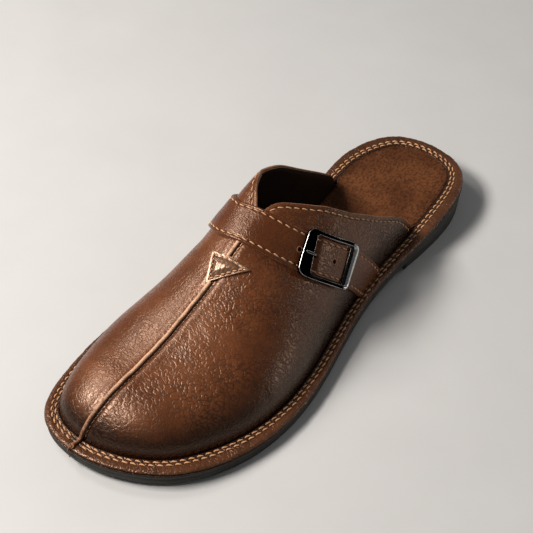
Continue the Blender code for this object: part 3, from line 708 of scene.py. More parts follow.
# Painted shade: the lining, and the walls of the strap's holes, are near black for the shade that falls
# inside them.
lining_painted_shade = napped("lining_painted_shade", (0.009, 0.004, 0.002), (0.004, 0.002, 0.001),
                        (0.013, 0.006, 0.003), nap=0.10)

# %% [markdown]
# The thread is waxed linen, golden tan. Its two plies are in the mesh, so the finish only
# has to say how fibres and wear change it. The rubber of the sole is a matt olive black.

# %% Thread and rubber
def thread_finish(name, shade, deep):
    finish = Finish(name, Specular_IOR_Level=0.35, Specular_Tint=WAX_TINT)
    place = finish.place()
    fibres = finish.noise(place, 0.25, 3.0, 0.6)
    wear_and_painted_reflection = finish.noise(place, 11, 2.0)
    dark = (fibres.between(0.45, 0.75) * 0.4 + wear_and_painted_reflection.between(0.48, 0.7) * 0.45).at_most(1.0)
    finish.paint(Base_Color=finish.blend(dark, shade, deep), Roughness=fibres * 0.2 + 0.42)
    finish.relief(fibres * 0.08)
    return finish.material


golden_thread = thread_finish("golden_thread", (0.66, 0.36, 0.185), (0.36, 0.165, 0.075))
brown_thread = thread_finish("brown_thread", (0.22, 0.10, 0.050), (0.08, 0.034, 0.016))

rubber = Finish("olive_black_rubber", Specular_IOR_Level=0.35)
rubber_place = rubber.place()
rubber_clouds = rubber.noise(rubber_place, 18, 3.0, 0.6)
rubber_pores = rubber.noise(rubber_place, 0.9, 3.0, 0.6)
rubber_shade = rubber.blend(rubber_clouds.between(0.35, 0.7), (0.020, 0.019, 0.015), (0.036, 0.034, 0.028))
rubber.paint(Base_Color=rubber_shade, Roughness=rubber_clouds * 0.2 + 0.5)
rubber.relief(rubber_pores * 0.10 + rubber_clouds * 0.1)
sole_rubber = rubber.material

# %% [markdown]
# The buckle is plated in nickel with its reflections painted in: its broad faces are painted
# nearly black, and its edges and the round far bar are painted bright, so the mesh brings a
# mark named "bright" for the edges and the round far bar.

# %% Nickel
nickel = Finish("nickel_plate_painted_reflections", Metallic=1.0, Specular_Tint=(0.35, 0.35, 0.36, 1.0))
nickel_place = nickel.place()
bright = nickel.mark("bright")
smears = nickel.noise(nickel.place((1, 5, 1)), 2.5, 3.0, 0.6)
# Painted reflections: near black on the broad faces, light grey where the bright mark is.
nickel.paint(Base_Color=nickel.blend(bright, (0.0014, 0.0014, 0.0016), (0.62, 0.61, 0.60)),
             Roughness=smears * 0.14 + bright * 0.12 + 0.09)
nickel.relief(smears * 0.02 + nickel.noise(nickel_place, 0.6, 2.0) * 0.006)
nickel_painted_reflections = nickel.material

# %% [markdown]
# ## Sheets of leather
#
# Every leather piece is two grids of points, the grain side and the flesh side, joined by a
# rim. A knife leaves a square edge that wear soon rounds, so the rim bulges a little. This
# is one helper for all of them: it welds what meets at a tip and writes the marks.

# %% Meshes
WELD = 1e-6
SLIVER = 1e-7


def build(name, points, faces, finishes, slots=None, marks=None, weld=True):
    """A piece from points and faces. Slots says which finish each face has."""
    mesh = bpy.data.meshes.new(name)
    mesh.from_pydata(np.asarray(points).tolist(), [], faces)
    if slots is not None:
        mesh.polygons.foreach_set("material_index", slots)
    for mark, values in (marks or {}).items():
        written = mesh.attributes.new(mark, "FLOAT", "POINT")
        written.data.foreach_set("value", np.asarray(values, np.float32).ravel())
    shape = bmesh.new()
    shape.from_mesh(mesh)
    if weld:
        bmesh.ops.remove_doubles(shape, verts=shape.verts, dist=WELD)
        bmesh.ops.dissolve_degenerate(shape, edges=shape.edges, dist=SLIVER)
    bmesh.ops.recalc_face_normals(shape, faces=shape.faces)
    shape.to_mesh(mesh)
    shape.free()
    for finish in finishes:
        mesh.materials.append(finish)
    mesh.shade_smooth()
    made = bpy.data.objects.new(name, mesh)
    bpy.context.collection.objects.link(made)
    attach(made, "root")
    print(f"{name}: {len(mesh.polygons)} faces")
    return made


def stands_for(made, node):
    """The piece takes a solid's place, and the solid is hidden."""
    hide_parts(node)
    return made


# %% [markdown]
# Thread, rods, bars, the welt and the sole are all rows of points, each row closed, that
# stand one behind the other. Only the way that the rows are joined differs: a rod has two
# flat ends, and a ring's last row meets its first.

# %% Rows of points
def bridge(first, second, count):
    """Faces between two closed rows of count points that start at first and second."""
    return [(first + k, first + (k + 1) % count, second + (k + 1) % count, second + k) for k in range(count)]


def rod_faces(rows, count, first=0):
    """Faces of a rod made of closed rows, with a flat end at either side."""
    last = first + (rows - 1) * count
    faces = [tuple(range(first, first + count)), tuple(range(last, last + count))[::-1]]
    for low in range(first, last, count):
        faces += bridge(low + count, low, count)
    return faces


def ring_faces(rows, count, first=0):
    """Faces of closed rows whose last row joins the first again."""
    return [face for row in range(rows)
            for face in bridge(first + row * count, first + (row + 1) % rows * count, count)]


# %% [markdown]
# A sheet's border is walked once round, point by point, so that the rim can be built
# between the border of the grain side and that of the flesh side.

# %% Sheets
def rim_of(rows, columns):
    """The grid's border, once round."""
    return np.array([c for c in range(columns)]
                    + [r * columns + columns - 1 for r in range(1, rows)]
                    + [(rows - 1) * columns + c for c in range(columns - 2, -1, -1)]
                    + [r * columns for r in range(rows - 2, 0, -1)])


def inner_neighbour(rows, columns):
    """For each point of the border, the point one step in from it."""
    border = rim_of(rows, columns)
    row, column = np.divmod(border, columns)
    return np.clip(row, 1, rows - 2) * columns + np.clip(column, 1, columns - 2)


def unit(vectors):
    return vectors / np.maximum(np.linalg.norm(vectors, axis=-1, keepdims=True), 1e-12)


def leather_sheet(name, outside, inside, finishes, bulge, marks=None, rim_steps=4):
    """A closed sheet. Finishes are for its face, its rim and its back."""
    rows, columns = outside.shape[:2]
    out, back = outside.reshape(-1, 3), inside.reshape(-1, 3)
    border = rim_of(rows, columns)
    away = unit(out[border] - out[inner_neighbour(rows, columns)])
    bulge = np.broadcast_to(bulge, border.shape)[:, None]
    middle, half = (out[border] + back[border]) / 2, (out[border] - back[border]) / 2
    turns = np.linspace(0, np.pi, rim_steps + 2)[1:-1]
    rims = [middle + half * np.cos(turn) + away * bulge * np.sin(turn) for turn in turns]
    points = np.vstack([out, back, *rims])
    faces = [(r * columns + c, r * columns + c + 1, (r + 1) * columns + c + 1, (r + 1) * columns + c)
             for r in range(rows - 1) for c in range(columns - 1)]
    count, size = len(out), len(border)
    backs = [tuple(corner + count for corner in face[::-1]) for face in faces]
    loops = [border] + [2 * count + k * size + np.arange(size) for k in range(rim_steps)] + [border + count]
    sides = []
    for first, second in zip(loops, loops[1:]):
        ahead_first, ahead_second = np.roll(first, -1), np.roll(second, -1)
        sides += [tuple(map(int, corners)) for corners in zip(ahead_first, first, second, ahead_second)]
    rim_slot = 1 if len(finishes) > 1 else 0
    slots = [0] * len(faces) + [len(finishes) - 1] * len(backs) + [rim_slot] * len(sides)
    marked = {}
    for mark, values in (marks or {}).items():
        flat = np.broadcast_to(values, (rows, columns)).reshape(-1)
        marked[mark] = np.concatenate([flat, flat, *[flat[border]] * rim_steps])
    return build(name, points, faces + backs + sides, finishes, slots, marked)


def distance_to(points, line):
    """How far each point is from a line of points, in metres."""
    flat = points.reshape(-1, 3)
    nearest = np.empty(len(flat))
    batch = 4000
    for start in range(0, len(flat), batch):
        part = flat[start:start + batch]
        nearest[start:start + batch] = np.sqrt(((part[:, None] - line[None]) ** 2).sum(-1).min(1))
    return nearest.reshape(points.shape[:-1])


def bell(distance, width):
    return np.exp(-(distance / width) ** 2)


# %% [markdown]
# ## Thread
#
# A lock stitch shows as a row of short plump threads, each diving into its needle holes and
# leaning a little across the row. Each one here is a bent pair of twisted plies.

# %% Stitches
STITCH_PITCH = 4.5 * MM
THREAD = 0.80 * MM
THREAD_SIDES = 8
THREAD_STATIONS = 9


def read_along(values, lengths, at):
    """Rows of points or directions, read at lengths along their line."""
    return np.stack([np.interp(at, lengths, values[:, k]) for k in range(3)], -1)


def stitches(name, line, out, pitch=STITCH_PITCH, thread=THREAD, cover=0.84, lean=0.14, proud=0.3,
             finish=golden_thread):
    """Stitches along a line of points, lifted along the directions in out."""
    lengths = lengths_along(line)
    count = max(int(round(lengths[-1] / pitch)), 1)
    pitch = lengths[-1] / count
    share = np.linspace(-1, 1, THREAD_STATIONS)
    reach = share * pitch * cover / 2
    at = ((np.arange(count) + 0.5) * pitch)[:, None] + reach
    centre = read_along(line, lengths, at)
    up = unit(read_along(out, lengths, at))
    side = np.cross(unit(np.gradient(centre, axis=1)), up)
    arch = thread * (proud - (proud + 0.55) * np.abs(share) ** 3)
    centre = centre + side * (reach * lean)[None, :, None] + up * arch[None, :, None]
    turn = np.arange(THREAD_SIDES) / THREAD_SIDES * 2 * np.pi
    ply = 0.84 + 0.16 * np.cos(2 * turn[None, :] - share[:, None] * np.pi * 1.6)
    radius = thread / 2 * ply * (1 - 0.3 * np.abs(share[:, None]) ** 4)
    around = ((radius * np.cos(turn))[None, ..., None] * side[:, :, None]
              + (radius * np.sin(turn))[None, ..., None] * up[:, :, None])
    points = (centre[:, :, None] + around).reshape(-1, 3)
    size = THREAD_STATIONS * THREAD_SIDES
    faces = [face for stitch in range(count)
             for face in rod_faces(THREAD_STATIONS, THREAD_SIDES, stitch * size)]
    return build(name, points, faces, [finish], weld=False)


def sew(name, places, lift, **style):
    """Stitches along places (y, round) on the upper, lifted off it."""
    return stitches(name, on_upper(*places, lift), upper_normal(*places), **style)


# %% [markdown]
# ## The upper
#
# Two halves of hide, lasted over the foot. The outer side is looser and pebbled, the sides
# near the welt and the toe are burnished, and the flex of the foot has left creases across
# it in front of the strap. The creases are listed as shares of the surface, and the
# mesh is fine enough to hold them.

# %% Upper
CREASES = table("along_start round_start along_end round_end width depth", [
    (0.395, 0.22, 0.425, 0.50, 2.6, 0.23),
    (0.372, 0.26, 0.392, 0.56, 2.4, 0.19),
    (0.350, 0.14, 0.352, 0.42, 2.2, 0.15),
    (0.322, 0.10, 0.318, 0.36, 2.6, 0.15),
    (0.292, 0.16, 0.286, 0.44, 2.4, 0.12),
    (0.262, 0.08, 0.252, 0.30, 2.4, 0.12),
    (0.232, 0.18, 0.220, 0.40, 2.6, 0.09),
    (0.402, -0.14, 0.412, -0.40, 2.4, 0.17),
    (0.372, -0.22, 0.380, -0.48, 2.4, 0.15),
    (0.338, -0.12, 0.344, -0.40, 2.6, 0.12),
    (0.300, -0.10, 0.300, -0.34, 2.6, 0.09),
    (0.150, 0.06, 0.175, 0.20, 1.8, 0.13),
    (0.128, 0.10, 0.140, 0.26, 1.8, 0.10),
    (0.340, 0.60, 0.310, 0.86, 3.0, 0.15),
    (0.280, 0.66, 0.262, 0.90, 3.0, 0.13),
    (0.400, 0.66, 0.380, 0.90, 3.0, 0.15),
    (0.330, -0.62, 0.306, -0.88, 3.0, 0.13),
    (0.580, 0.60, 0.560, 0.82, 2.8, 0.15),
    (0.620, 0.72, 0.608, 0.90, 2.6, 0.13),
    (0.560, -0.55, 0.545, -0.80, 2.8, 0.13),
])
TOPLINE_ROW = 2.3 * MM
LINING_WALL = 0.6 * MM
TOPLINE_LINE_ROUND = np.linspace(-1, 1, 700)
TOPLINE_LINE = on_upper(topline(TOPLINE_LINE_ROUND), TOPLINE_LINE_ROUND)


def creased(points):
    """How far the creases push the leather in, with a soft roll on either side."""
    lift = np.zeros(points.shape[:-1])
    for k in range(len(CREASES["width"])):
        along, round_ = (np.linspace(CREASES[f"{part}_start"][k], CREASES[f"{part}_end"][k], 40)
                         for part in ("along", "round"))
        wander = 0.004 * np.sin(np.linspace(0, 3 * np.pi, 40) + k)
        line = on_upper(length_at(along + wander), round_)
        share = np.sqrt(((points[..., None, :] - line) ** 2).sum(-1))
        nearest = share.min(-1) / MM
        place = share.argmin(-1) / 39
        fade = np.clip(np.sin(np.pi * np.clip(place, 0.02, 0.98)), 0, 1) ** 0.6
        width, depth = CREASES["width"][k], CREASES["depth"][k]
        lift += depth * MM * fade * (0.5 * bell(nearest - 1.7 * width, width) - bell(nearest, width * 0.6))
    return lift


# %% [markdown]
# The mesh has to be finest where the form turns fastest: round the toe, and in a narrow band
# along the collar's edge, where the leather is pressed down by its stitches. The marks for
# the finish are worked out from the same places, as soft bells round the welt, the toe and
# the stitches.

# %% The upper's grid and marks
UPPER_STEPS = 162
UPPER_COLUMNS = 200
BAND_START = 0.955
BAND_WIDTH = 6.0 * MM
BAND_ROWS = 16


def upper_grid():
    """Places over the upper, gathered toward the toe and in a band along the collar's edge."""
    round_ = np.linspace(-1, 1, UPPER_COLUMNS)
    share = 1 - np.cos(np.linspace(0, np.pi / 2, UPPER_STEPS))
    y = UPPER_TOE + np.outer(share[share < BAND_START], topline(round_) - UPPER_TOE)
    near_edge = topline(round_)[None, :] - np.linspace(BAND_WIDTH, 0, BAND_ROWS)[1:, None]
    y = np.sort(np.vstack([y, near_edge]), axis=0)
    return y, np.broadcast_to(round_, y.shape)


def upper_marks(y, round_, points):
    above = points[..., 2] - welt_top(y)
    low = bell(np.clip(above / MM - 1, 0, None), np.where(round_ > 0, 13.0, 10.0))
    toe = bell((y - UPPER_TOE) / MM, 9)
    # Painted shade: the outer side, away from the key light, is darkened.
    side = np.clip((round_ - 0.45) / 0.4, 0, 1) * 0.35
    edge = distance_to(points, TOPLINE_LINE) / MM
    loose = np.clip(round_ * 6, 0, 1) * bell(np.clip(round_ - 0.42, 0, 1), 0.28)
    loose = np.maximum(loose, 0.42 * bell(np.abs(round_ + 0.3), 0.5))
    loose = np.maximum(loose, 0.85 * (round_ > 0) * np.clip(y / LENGTH * 14, 0, 1))
    loose = loose * (1 - 0.5 * bell((y - UPPER_TOE) / MM, 32))
    # Burnish low on the sides and round the toe; painted shade on the outer side and in the groove along the
    # collar's stitch row.
    burnish = np.clip(0.85 * low + 0.4 * toe + side + 0.5 * bell(edge - TOPLINE_ROW / MM, 0.5), 0, 1)
    return {"burnish": burnish, "grain": np.clip(0.35 + 0.65 * loose, 0, 1)}, edge


# %% Hide and lining
def make_upper():
    y, round_ = upper_grid()
    base = on_upper(y, round_)
    marks, edge = upper_marks(y, round_, base)
    seam = (base[..., 0] - upper_point(y, 0 * round_)[..., 0]) / MM
    forward = np.clip((side_length(topline(0.0)) - side_length(y)) * 40, 0, 1)
    beside = 0.35 * bell(seam - 4.6, 2.4) - 0.55 * bell(seam - 1.9, 0.8) + 0.3 * bell(seam + 3.4, 2.0)
    beside = forward * beside
    groove = -0.32 * bell(edge - TOPLINE_ROW / MM, 0.55) + 0.12 * bell(edge - TOPLINE_ROW / MM - 2.2, 1.4)
    lift = creased(base) + (beside + groove) * MM
    lift = lift * np.clip((base[..., 2] - welt_top(y)) / (3 * MM), 0, 1)
    # Painted shadow of the seam's lip, darkening the groove on its outer side.
    marks["burnish"] = np.clip(marks["burnish"] + 0.7 * forward * bell(seam - 1.7, 0.8), 0, 1)
    outside = on_upper(y, round_, lift)
    inside = on_upper(y, round_, -(UPPER_WALL - LINING_WALL))
    finishes = [upper_leather, raw_edge, lining_painted_shade]
    made = leather_sheet("upper_hide", outside, inside, finishes, 0.35 * MM, marks)
    return stands_for(made, "upper")


def make_lining():
    round_ = np.linspace(-1, 1, 90)
    share = 1 - np.cos(np.linspace(0, np.pi / 2, 70))
    y = UPPER_TOE + 3 * MM + np.outer(share, topline(round_) - UPPER_TOE - 3.4 * MM)
    round_ = np.broadcast_to(round_, y.shape)
    outside = on_upper(y, round_, -(UPPER_WALL - LINING_WALL) - 0.02 * MM)
    inside = on_upper(y, round_, -UPPER_WALL)
    finishes = [lining_painted_shade, raw_edge, lining_painted_shade]
    unmarked = {"burnish": 0 * y, "grain": 0 * y}
    made = leather_sheet("upper_lining", outside, inside, finishes, 0.1 * MM, unmarked)
    return made


upper_hide = make_upper()
upper_lining = make_lining()

# %% [markdown]
# The collar's edge is stitched once round, a couple of millimetres in. Its row is found by
# stepping inward from the edge and settling back on to the surface.

# %% Collar stitches
def line_inside(line, y, round_, inset):
    """Places on the upper that lie inset from a line on it, to the line's left."""
    out = upper_normal(y, round_)
    inward = unit(np.cross(out, np.gradient(line, axis=0)))
    return settle(line + inward * inset, y, round_)


def make_collar_stitches():
    y, round_ = line_inside(TOPLINE_LINE, topline(TOPLINE_LINE_ROUND), TOPLINE_LINE_ROUND, -TOPLINE_ROW)
    line = on_upper(y, round_, -0.25 * MM)
    shown = line[:, 2] > welt_top(line[:, 1]) + 1.5 * MM
    return stitches("collar_stitches", line[shown], upper_normal(y, round_)[shown], pitch=4.3 * MM)


collar_stitches = make_collar_stitches()

# %% [markdown]
# ## The seam
#
# The inner half's edge is turned up and laps the outer half's, which is why the seam is a
# pale raised lip with a groove and small stitches on its outer side; the groove is darkened by
# painted shadow. It runs over the welt at the toe, where its thread ends in a knot.

# %% Seams
# The shade column is painted shade: the lip is darker down both sides, where it meets the upper, and lightest
# along its top.
SEAM_LIP = table("across up shade", [
    (-1.05, 0.02, 0.8),
    (-1.08, 0.50, 0.55),
    (-0.98, 1.02, 0.2),
    (-0.70, 1.45, 0),
    (-0.25, 1.66, 0),
    (0.25, 1.62, 0),
    (0.66, 1.36, 0.1),
    (0.90, 0.90, 0.45),
    (0.94, 0.30, 0.9),
    (0.86, -0.15, 1.0),
])
LIP_STEP = 0.8 * MM


def lip(name, centre, out, scale=1.0, worn_in=0.0):
    """The raised lip along a line of points, darker at its start where it is worn in."""
    lengths = lengths_along(centre)
    fine = np.linspace(0, lengths[-1], max(int(lengths[-1] / LIP_STEP), 8))
    centre = read_along(centre, lengths, fine)
    out = unit(read_along(out, lengths, fine))
    for _ in range(3):
        centre[1:-1] = (centre[:-2] + 2 * centre[1:-1] + centre[2:]) / 4
        out[1:-1] = unit(out[:-2] + 2 * out[1:-1] + out[2:])
    side = unit(np.cross(np.gradient(centre, axis=0), out))
    sway = 0.10 * MM * np.sin(fine / (5.3 * MM)) + 0.06 * MM * np.sin(fine / (1.9 * MM))
    swell = 1 + 0.05 * np.sin(fine / (3.1 * MM) + 1) + 0.04 * np.sin(fine / (1.3 * MM))
    swell = swell * scale
    loops = (centre[:, None] + side[:, None] * (sway[:, None, None] + SEAM_LIP["across"][None, :, None] * MM)
             + out[:, None] * (SEAM_LIP["up"][None, :, None] * swell[:, None, None] * MM))
    # Painted shade down the lip's sides, plus wear at its start near the toe.
    burnish = np.clip(0.7 * SEAM_LIP["shade"] + worn_in * bell(fine / MM, 30)[:, None], 0, 1)
    faces = rod_faces(*loops.shape[:2])
    return build(name, loops.reshape(-1, 3), faces, [seam_lip], marks={"burnish": burnish})


# %% Centre and throat seams
def make_centre_seam():
    end = length_at(PATCH_CORNERS["along"][0]) + 1.5 * MM
    start = UPPER_TOE + 0.6 * MM
    y = start + (end - start) * (1 - np.cos(np.linspace(0, np.pi / 2, 120)))
    ridge, out = upper_point(y, 0), upper_normal(y, 0)
    above = ridge[:, 2] > welt_top(y) + 0.6 * MM
    ridge, out = ridge[above], out[above]
    edge = -LENGTH / 2
    steps = 7
    share = np.linspace(0.22, 0.86, steps)
    welt_y = edge + share * (UPPER_TOE - edge)
    on_welt = np.column_stack([np.full(steps, ridge[0, 0]), welt_y, welt_top(welt_y) - 0.2 * MM])
    centre = np.vstack([on_welt, ridge])
    tilt = np.linspace(0, 0.6, steps)
    out = np.vstack([np.column_stack([0 * tilt, -np.sin(tilt), np.cos(tilt)]), out])
    made = lip("centre_seam_lip", centre, out, worn_in=0.75)
    return stands_for(made, "centre_seam"), y[above]


def make_throat_seam():
    start = length_at(PATCH_CORNERS["along"][1:].mean()) - 1 * MM
    front = strap_place(np.linspace(-60, -10, 200) * MM, -STRAP_WIDTH / 2)
    end = np.interp(0, front[1], front[0]) + 2 * MM
    y = np.linspace(start, end, 24)
    made = lip("throat_seam_lip", upper_point(y, 0), upper_normal(y, 0), scale=0.8)
    return stands_for(made, "throat_seam"), y


def beside_ridge(y, aside):
    """Places on the upper a little to the outer side of the ridge."""
    out = upper_normal(y, 0)
    line = upper_point(y, 0)
    side = unit(np.cross(np.gradient(line, axis=0), out))
    return settle(line + side * aside, y, 0.02 + 0 * y)


centre_seam_lip, seam_y = make_centre_seam()
throat_seam_lip, throat_y = make_throat_seam()
seam_stitches = sew("seam_stitches", beside_ridge(seam_y, 1.9 * MM), -0.3 * MM, pitch=2.7 * MM,
                    thread=0.5 * MM, cover=0.66, finish=brown_thread)
throat_stitches = sew("throat_stitches", beside_ridge(throat_y[:-2], 2.2 * MM), -0.05 * MM,
                      pitch=2.8 * MM, thread=0.7 * MM)

# %% [markdown]
# The seam's thread ends in a knot over the welt. A trefoil curve is the simplest real knot,
# and a tube along it reads as one from every side. Its end hangs down over the sole's edge.

# %% Knot
KNOT_SIDES = 8
KNOT_SIZE = 0.42 * MM
THREAD_END = table("share x y z", [
    (0.0, 0, 0, 0.3),
    (0.2, -0.2, -1.5, -0.1),
    (0.4, -0.5, -2.0, -1.9),
    (0.7, -0.1, -1.8, -4.8),
    (1.0, -0.7, -1.5, -7.4),
])


def make_knot():
    """The seam thread's knot, a small tight trefoil, and its end over the welt's edge."""
    turn = np.linspace(0, 2 * np.pi, 97)
    loop = np.stack([(2 + np.cos(3 * turn)) * np.cos(2 * turn), (2 + np.cos(3 * turn)) * np.sin(2 * turn),
                     0.8 * np.sin(3 * turn)], -1) * KNOT_SIZE
    x, y = upper_point(UPPER_TOE + 1 * MM, 0)[0], -LENGTH / 2 + 1.3 * MM
    middle = np.array([x, y, welt_top(y) + 0.7 * MM])
    steps = np.linspace(0, 1, 30)
    tail = np.stack([smooth(THREAD_END["share"], THREAD_END[axis], steps) for axis in "xyz"], -1) * MM
    angle = np.arange(KNOT_SIDES) / KNOT_SIDES * 2 * np.pi
    points, faces = [], []
    for line, radius in ((loop, 0.46 * MM), (tail, 0.36 * MM)):
        forward = unit(np.gradient(line, axis=0))
        forward[[0, -1]] = unit(forward[[0, -1]] + (forward[[-1, 0]] if line is loop else 0))
        out = unit(np.cross(forward, [0.31, 0.22, 0.93]))
        side = np.cross(forward, out)
        first = len(points) * KNOT_SIDES
        last = first + (len(line) - 1) * KNOT_SIDES
        spokes = np.cos(angle)[None, :, None] * side[:, None] + np.sin(angle)[None, :, None] * out[:, None]
        points += list(middle + line[:, None] + radius * spokes)
        for low in range(first, last, KNOT_SIDES):
            faces += bridge(low, low + KNOT_SIDES, KNOT_SIDES)
    faces += [tuple(range(last, last + KNOT_SIDES)), tuple(range(first, first + KNOT_SIDES))[::-1]]
    return build("seam_knot", np.vstack(points), faces, [brown_thread])


seam_knot = make_knot()

# %% [markdown]
# ## The patch
#
# A three-cornered patch closes the top of the seam where it takes the pull of the strap. It
# is thin, polished hide, padded by what it covers, so it swells between its stitched sides.

# %% Patch
PATCH_GRID = 91
PATCH_ROW = 1.5


def make_patch():
    share = np.linspace(0, 1, PATCH_GRID)
    corner = [np.array([PATCH_CORNERS["along"][k], PATCH_CORNERS["round"][k]]) for k in range(3)]
    base = corner[1] + np.outer(share, corner[2] - corner[1])
    place = corner[0] + share[:, None, None] * (base[None] - corner[0])
    y, round_ = length_at(place[..., 0]), place[..., 1]
    flat = upper_point(y, round_)
    tips = [upper_point(length_at(along), beside) for along, beside in corner]
    inset = np.min([np.linalg.norm(np.cross(flat - a, b - a), axis=-1) / np.linalg.norm(b - a)
                    for a, b in zip(tips, tips[1:] + tips[:1])], axis=0) / MM
    full = ease(np.clip((inset - 1.4) / 3.2, 0, 1))
    lift = PATCH_THICKNESS * 0.75 + 1.15 * MM * full - 0.42 * MM * bell(inset - PATCH_ROW, 0.5)
    pull = 0.07 * np.sin(flat[..., 0] / (0.32 * MM) + 1.3 * np.sin(y / (1.1 * MM)))
    pull = pull * np.clip((inset - 1.8) / 1.5, 0, 1)
    ripple = (0.10 * np.sin(y / (0.9 * MM)) * bell(inset - 2.4, 1.0) + pull) * MM
    outside = on_upper(y, round_, GAP + lift + ripple)
    inside = on_upper(y, round_, 0.05 * MM)
    # Painted shade darkens the grooves along the patch's stitch rows.
    marks = {"burnish": 0.75 * bell(inset - PATCH_ROW, 0.45), "grain": 0.6 + 0 * y}
    finishes = [patch_leather, raw_edge, raw_edge]
    made = leather_sheet("stitched_patch", outside, inside, finishes, 0.35 * MM, marks)
    return stands_for(made, "triangle_patch"), corner


def sew_patch(corner):
    """A row of stitches along each side, a fifth of the way in to the middle."""
    middle = (corner[0] + corner[1] + corner[2]) / 3
    rows = []
    for first, second in ((0, 1), (1, 2), (2, 0)):
        here = [corner[k] + (middle - corner[k]) * 0.20 for k in (first, second)]
        line = here[0] + np.linspace(0, 1, 60)[:, None] * (here[1] - here[0])
        rows.append(sew(f"patch_stitches_{first}", (length_at(line[:, 0]), line[:, 1]),
                        GAP + PATCH_THICKNESS * 0.62, pitch=3.0 * MM, thread=0.92 * MM, cover=0.86))
    return rows


stitched_patch, patch_corner = make_patch()
patch_rows = sew_patch(patch_corner)

# %% [markdown]
# ## The strap
#
# Two layers of hide with their edges rolled and stitched, so it stands proud at both rims
# and is pulled down along its stitches. It lies on the upper, ducks under the buckle's near
# bar and rests on the prong. Its adjusting holes are punched clean through.

# %% Strap
STRAP_ROW = STRAP_WIDTH / 2 - 2.0 * MM
STRAP_ACROSS = np.array([-1, -0.985, -0.955, -0.92, -0.88, -0.85, -0.82, -0.79, -0.76, -0.72, -0.66,
                         -0.58, -0.48, -0.36, -0.24, -0.12])
STRAP_ACROSS = np.concatenate([STRAP_ACROSS, [0], -STRAP_ACROSS[::-1]]) * STRAP_WIDTH / 2


def strap_profile(across):
    """The strap's thickness across its width, as a share of the whole."""
    in_from_edge = (STRAP_WIDTH / 2 - np.abs(across)) / MM
    rim = np.clip(in_from_edge / 0.55, 0, 1)
    rolled = np.sqrt(1 - (1 - rim) ** 2)
    return 0.62 + 0.38 * rolled + 0.06 * bell(in_from_edge - 1.0, 0.5) - 0.20 * bell(in_from_edge - 2.0, 0.42)


def row_marks(across):
    # Painted shade: the strap is darkened in the grooves along its stitch rows, and a little where its rims
    # roll down.
    row = bell((np.abs(across) - STRAP_ROW) / MM, 0.42)
    rim = np.clip(1 - (STRAP_WIDTH / 2 - np.abs(across)) / (1.1 * MM), 0, 1)
    return {"burnish": np.clip(0.55 * row + 0.15 * rim, 0, 1), "grain": 0.6 + 0 * across}


def strap_sheet(name, along, across, lift):
    """A stretch of strap leather from its grid of places."""
    y, round_ = strap_place(along, across)
    outside = on_upper(y, round_, lift + STRAP_THICKNESS * strap_profile(across))
    inside = on_upper(y, round_, lift - 0.12 * MM)
    finishes = [strap_leather, raw_edge, raw_edge]
    return leather_sheet(name, outside, inside, finishes, 0.25 * MM, row_marks(across))


def make_strap():
    start = np.array([strap_end(place, outer_side=False) for place in STRAP_ACROSS]) - 0.8 * MM
    tip = STRAP_TIP - 3 * MM * (2 * np.abs(STRAP_ACROSS) / STRAP_WIDTH) ** 4
    share = np.linspace(0, 1, 230)[:, None]
    along = start + share * (tip - start)
    across = np.broadcast_to(STRAP_ACROSS, along.shape)
    between_rows = np.clip(1 - np.abs(across) / STRAP_ROW, 0, 1)
    wave = 0.10 * MM * np.sin(along / (4.7 * MM) + across / (3 * MM)) * between_rows
    made = strap_sheet("instep_strap", along, across, strap_lift(along) + wave)
    return stands_for(made, "strap")


instep_strap = make_strap()

# %% [markdown]
# A hole punch is a round steel tube, and its hole goes clean through. The quickest true hole
# in a mesh is a Boolean with a peg, square to the leather at each place. The rim that the
# punch presses up round a hole is a thin ring of its own.

# %% Holes
STRAP_HOLES = (0.357, 0.510, 0.617)
HOLE_SIZE = 2.7 * MM
HOLE_SIDES = 28
RIM_SIDES = 8
hole_places = np.interp(STRAP_HOLES, STRAP_ROUND, STRAP_LENGTHS)
hole_places[1] = HOLE_AT - 0.2 * MM


def punch(made, places):
    """Cut round holes through a piece."""
    for along in places:
        middle = on_strap(along, 0.0, 0)
        out = upper_normal(*strap_place(along, 0.0))
        bpy.ops.mesh.primitive_cylinder_add(vertices=HOLE_SIDES, radius=HOLE_SIZE / 2, depth=16 * MM,
                                            location=middle)
        peg = bpy.context.object
        peg.rotation_euler = Vector(out).to_track_quat("Z", "Y").to_euler()
        # Painted shade: the hole's walls take the near black lining finish for the shade inside the hole.
        peg.data.materials.append(lining_painted_shade)
        cut = made.modifiers.new("hole", "BOOLEAN")
        cut.operation, cut.object, cut.solver = "DIFFERENCE", peg, "EXACT"
        bpy.context.view_layer.update()
        cut_mesh = bpy.data.meshes.new_from_object(made.evaluated_get(bpy.context.evaluated_depsgraph_get()))
        made.modifiers.clear()
        made.data = cut_mesh
        bpy.data.objects.remove(peg)


punch(instep_strap, hole_places)


def make_hole_rims():
    """A thin ring round each hole that the buckle leaves in view."""
    points, faces = [], []
    turns = np.arange(HOLE_SIDES) / HOLE_SIDES * 2 * np.pi
    bends = np.arange(RIM_SIDES) / RIM_SIDES * 2 * np.pi
    for along in hole_places[[0, 2]]:
        middle = on_strap(along, 0.0, strap_lift(along) + STRAP_THICKNESS)
        out = upper_normal(*strap_place(along, 0.0))
        forward = unit(np.cross(out, [0.3, 1.0, 0.1]))
        side = np.cross(out, forward)
        faces += ring_faces(HOLE_SIDES, RIM_SIDES, len(points))
        for turn in turns:
            spoke = np.cos(turn) * forward + np.sin(turn) * side
            for bend in bends:
                reach = HOLE_SIZE / 2 + 0.12 * MM + 0.30 * MM * np.cos(bend)
                points.append(middle + spoke * reach + out * 0.22 * MM * np.sin(bend))
    return build("hole_rims", points, faces, [raw_edge], weld=False)


hole_rims = make_hole_rims()


# %% [markdown]
# Both straps are sewn along their two rims, from the welt to the buckle, with the same thread
# and the same length of stitch as the collar.

# %% Strap stitches
SIDES = ((-1, "front"), (1, "back"))


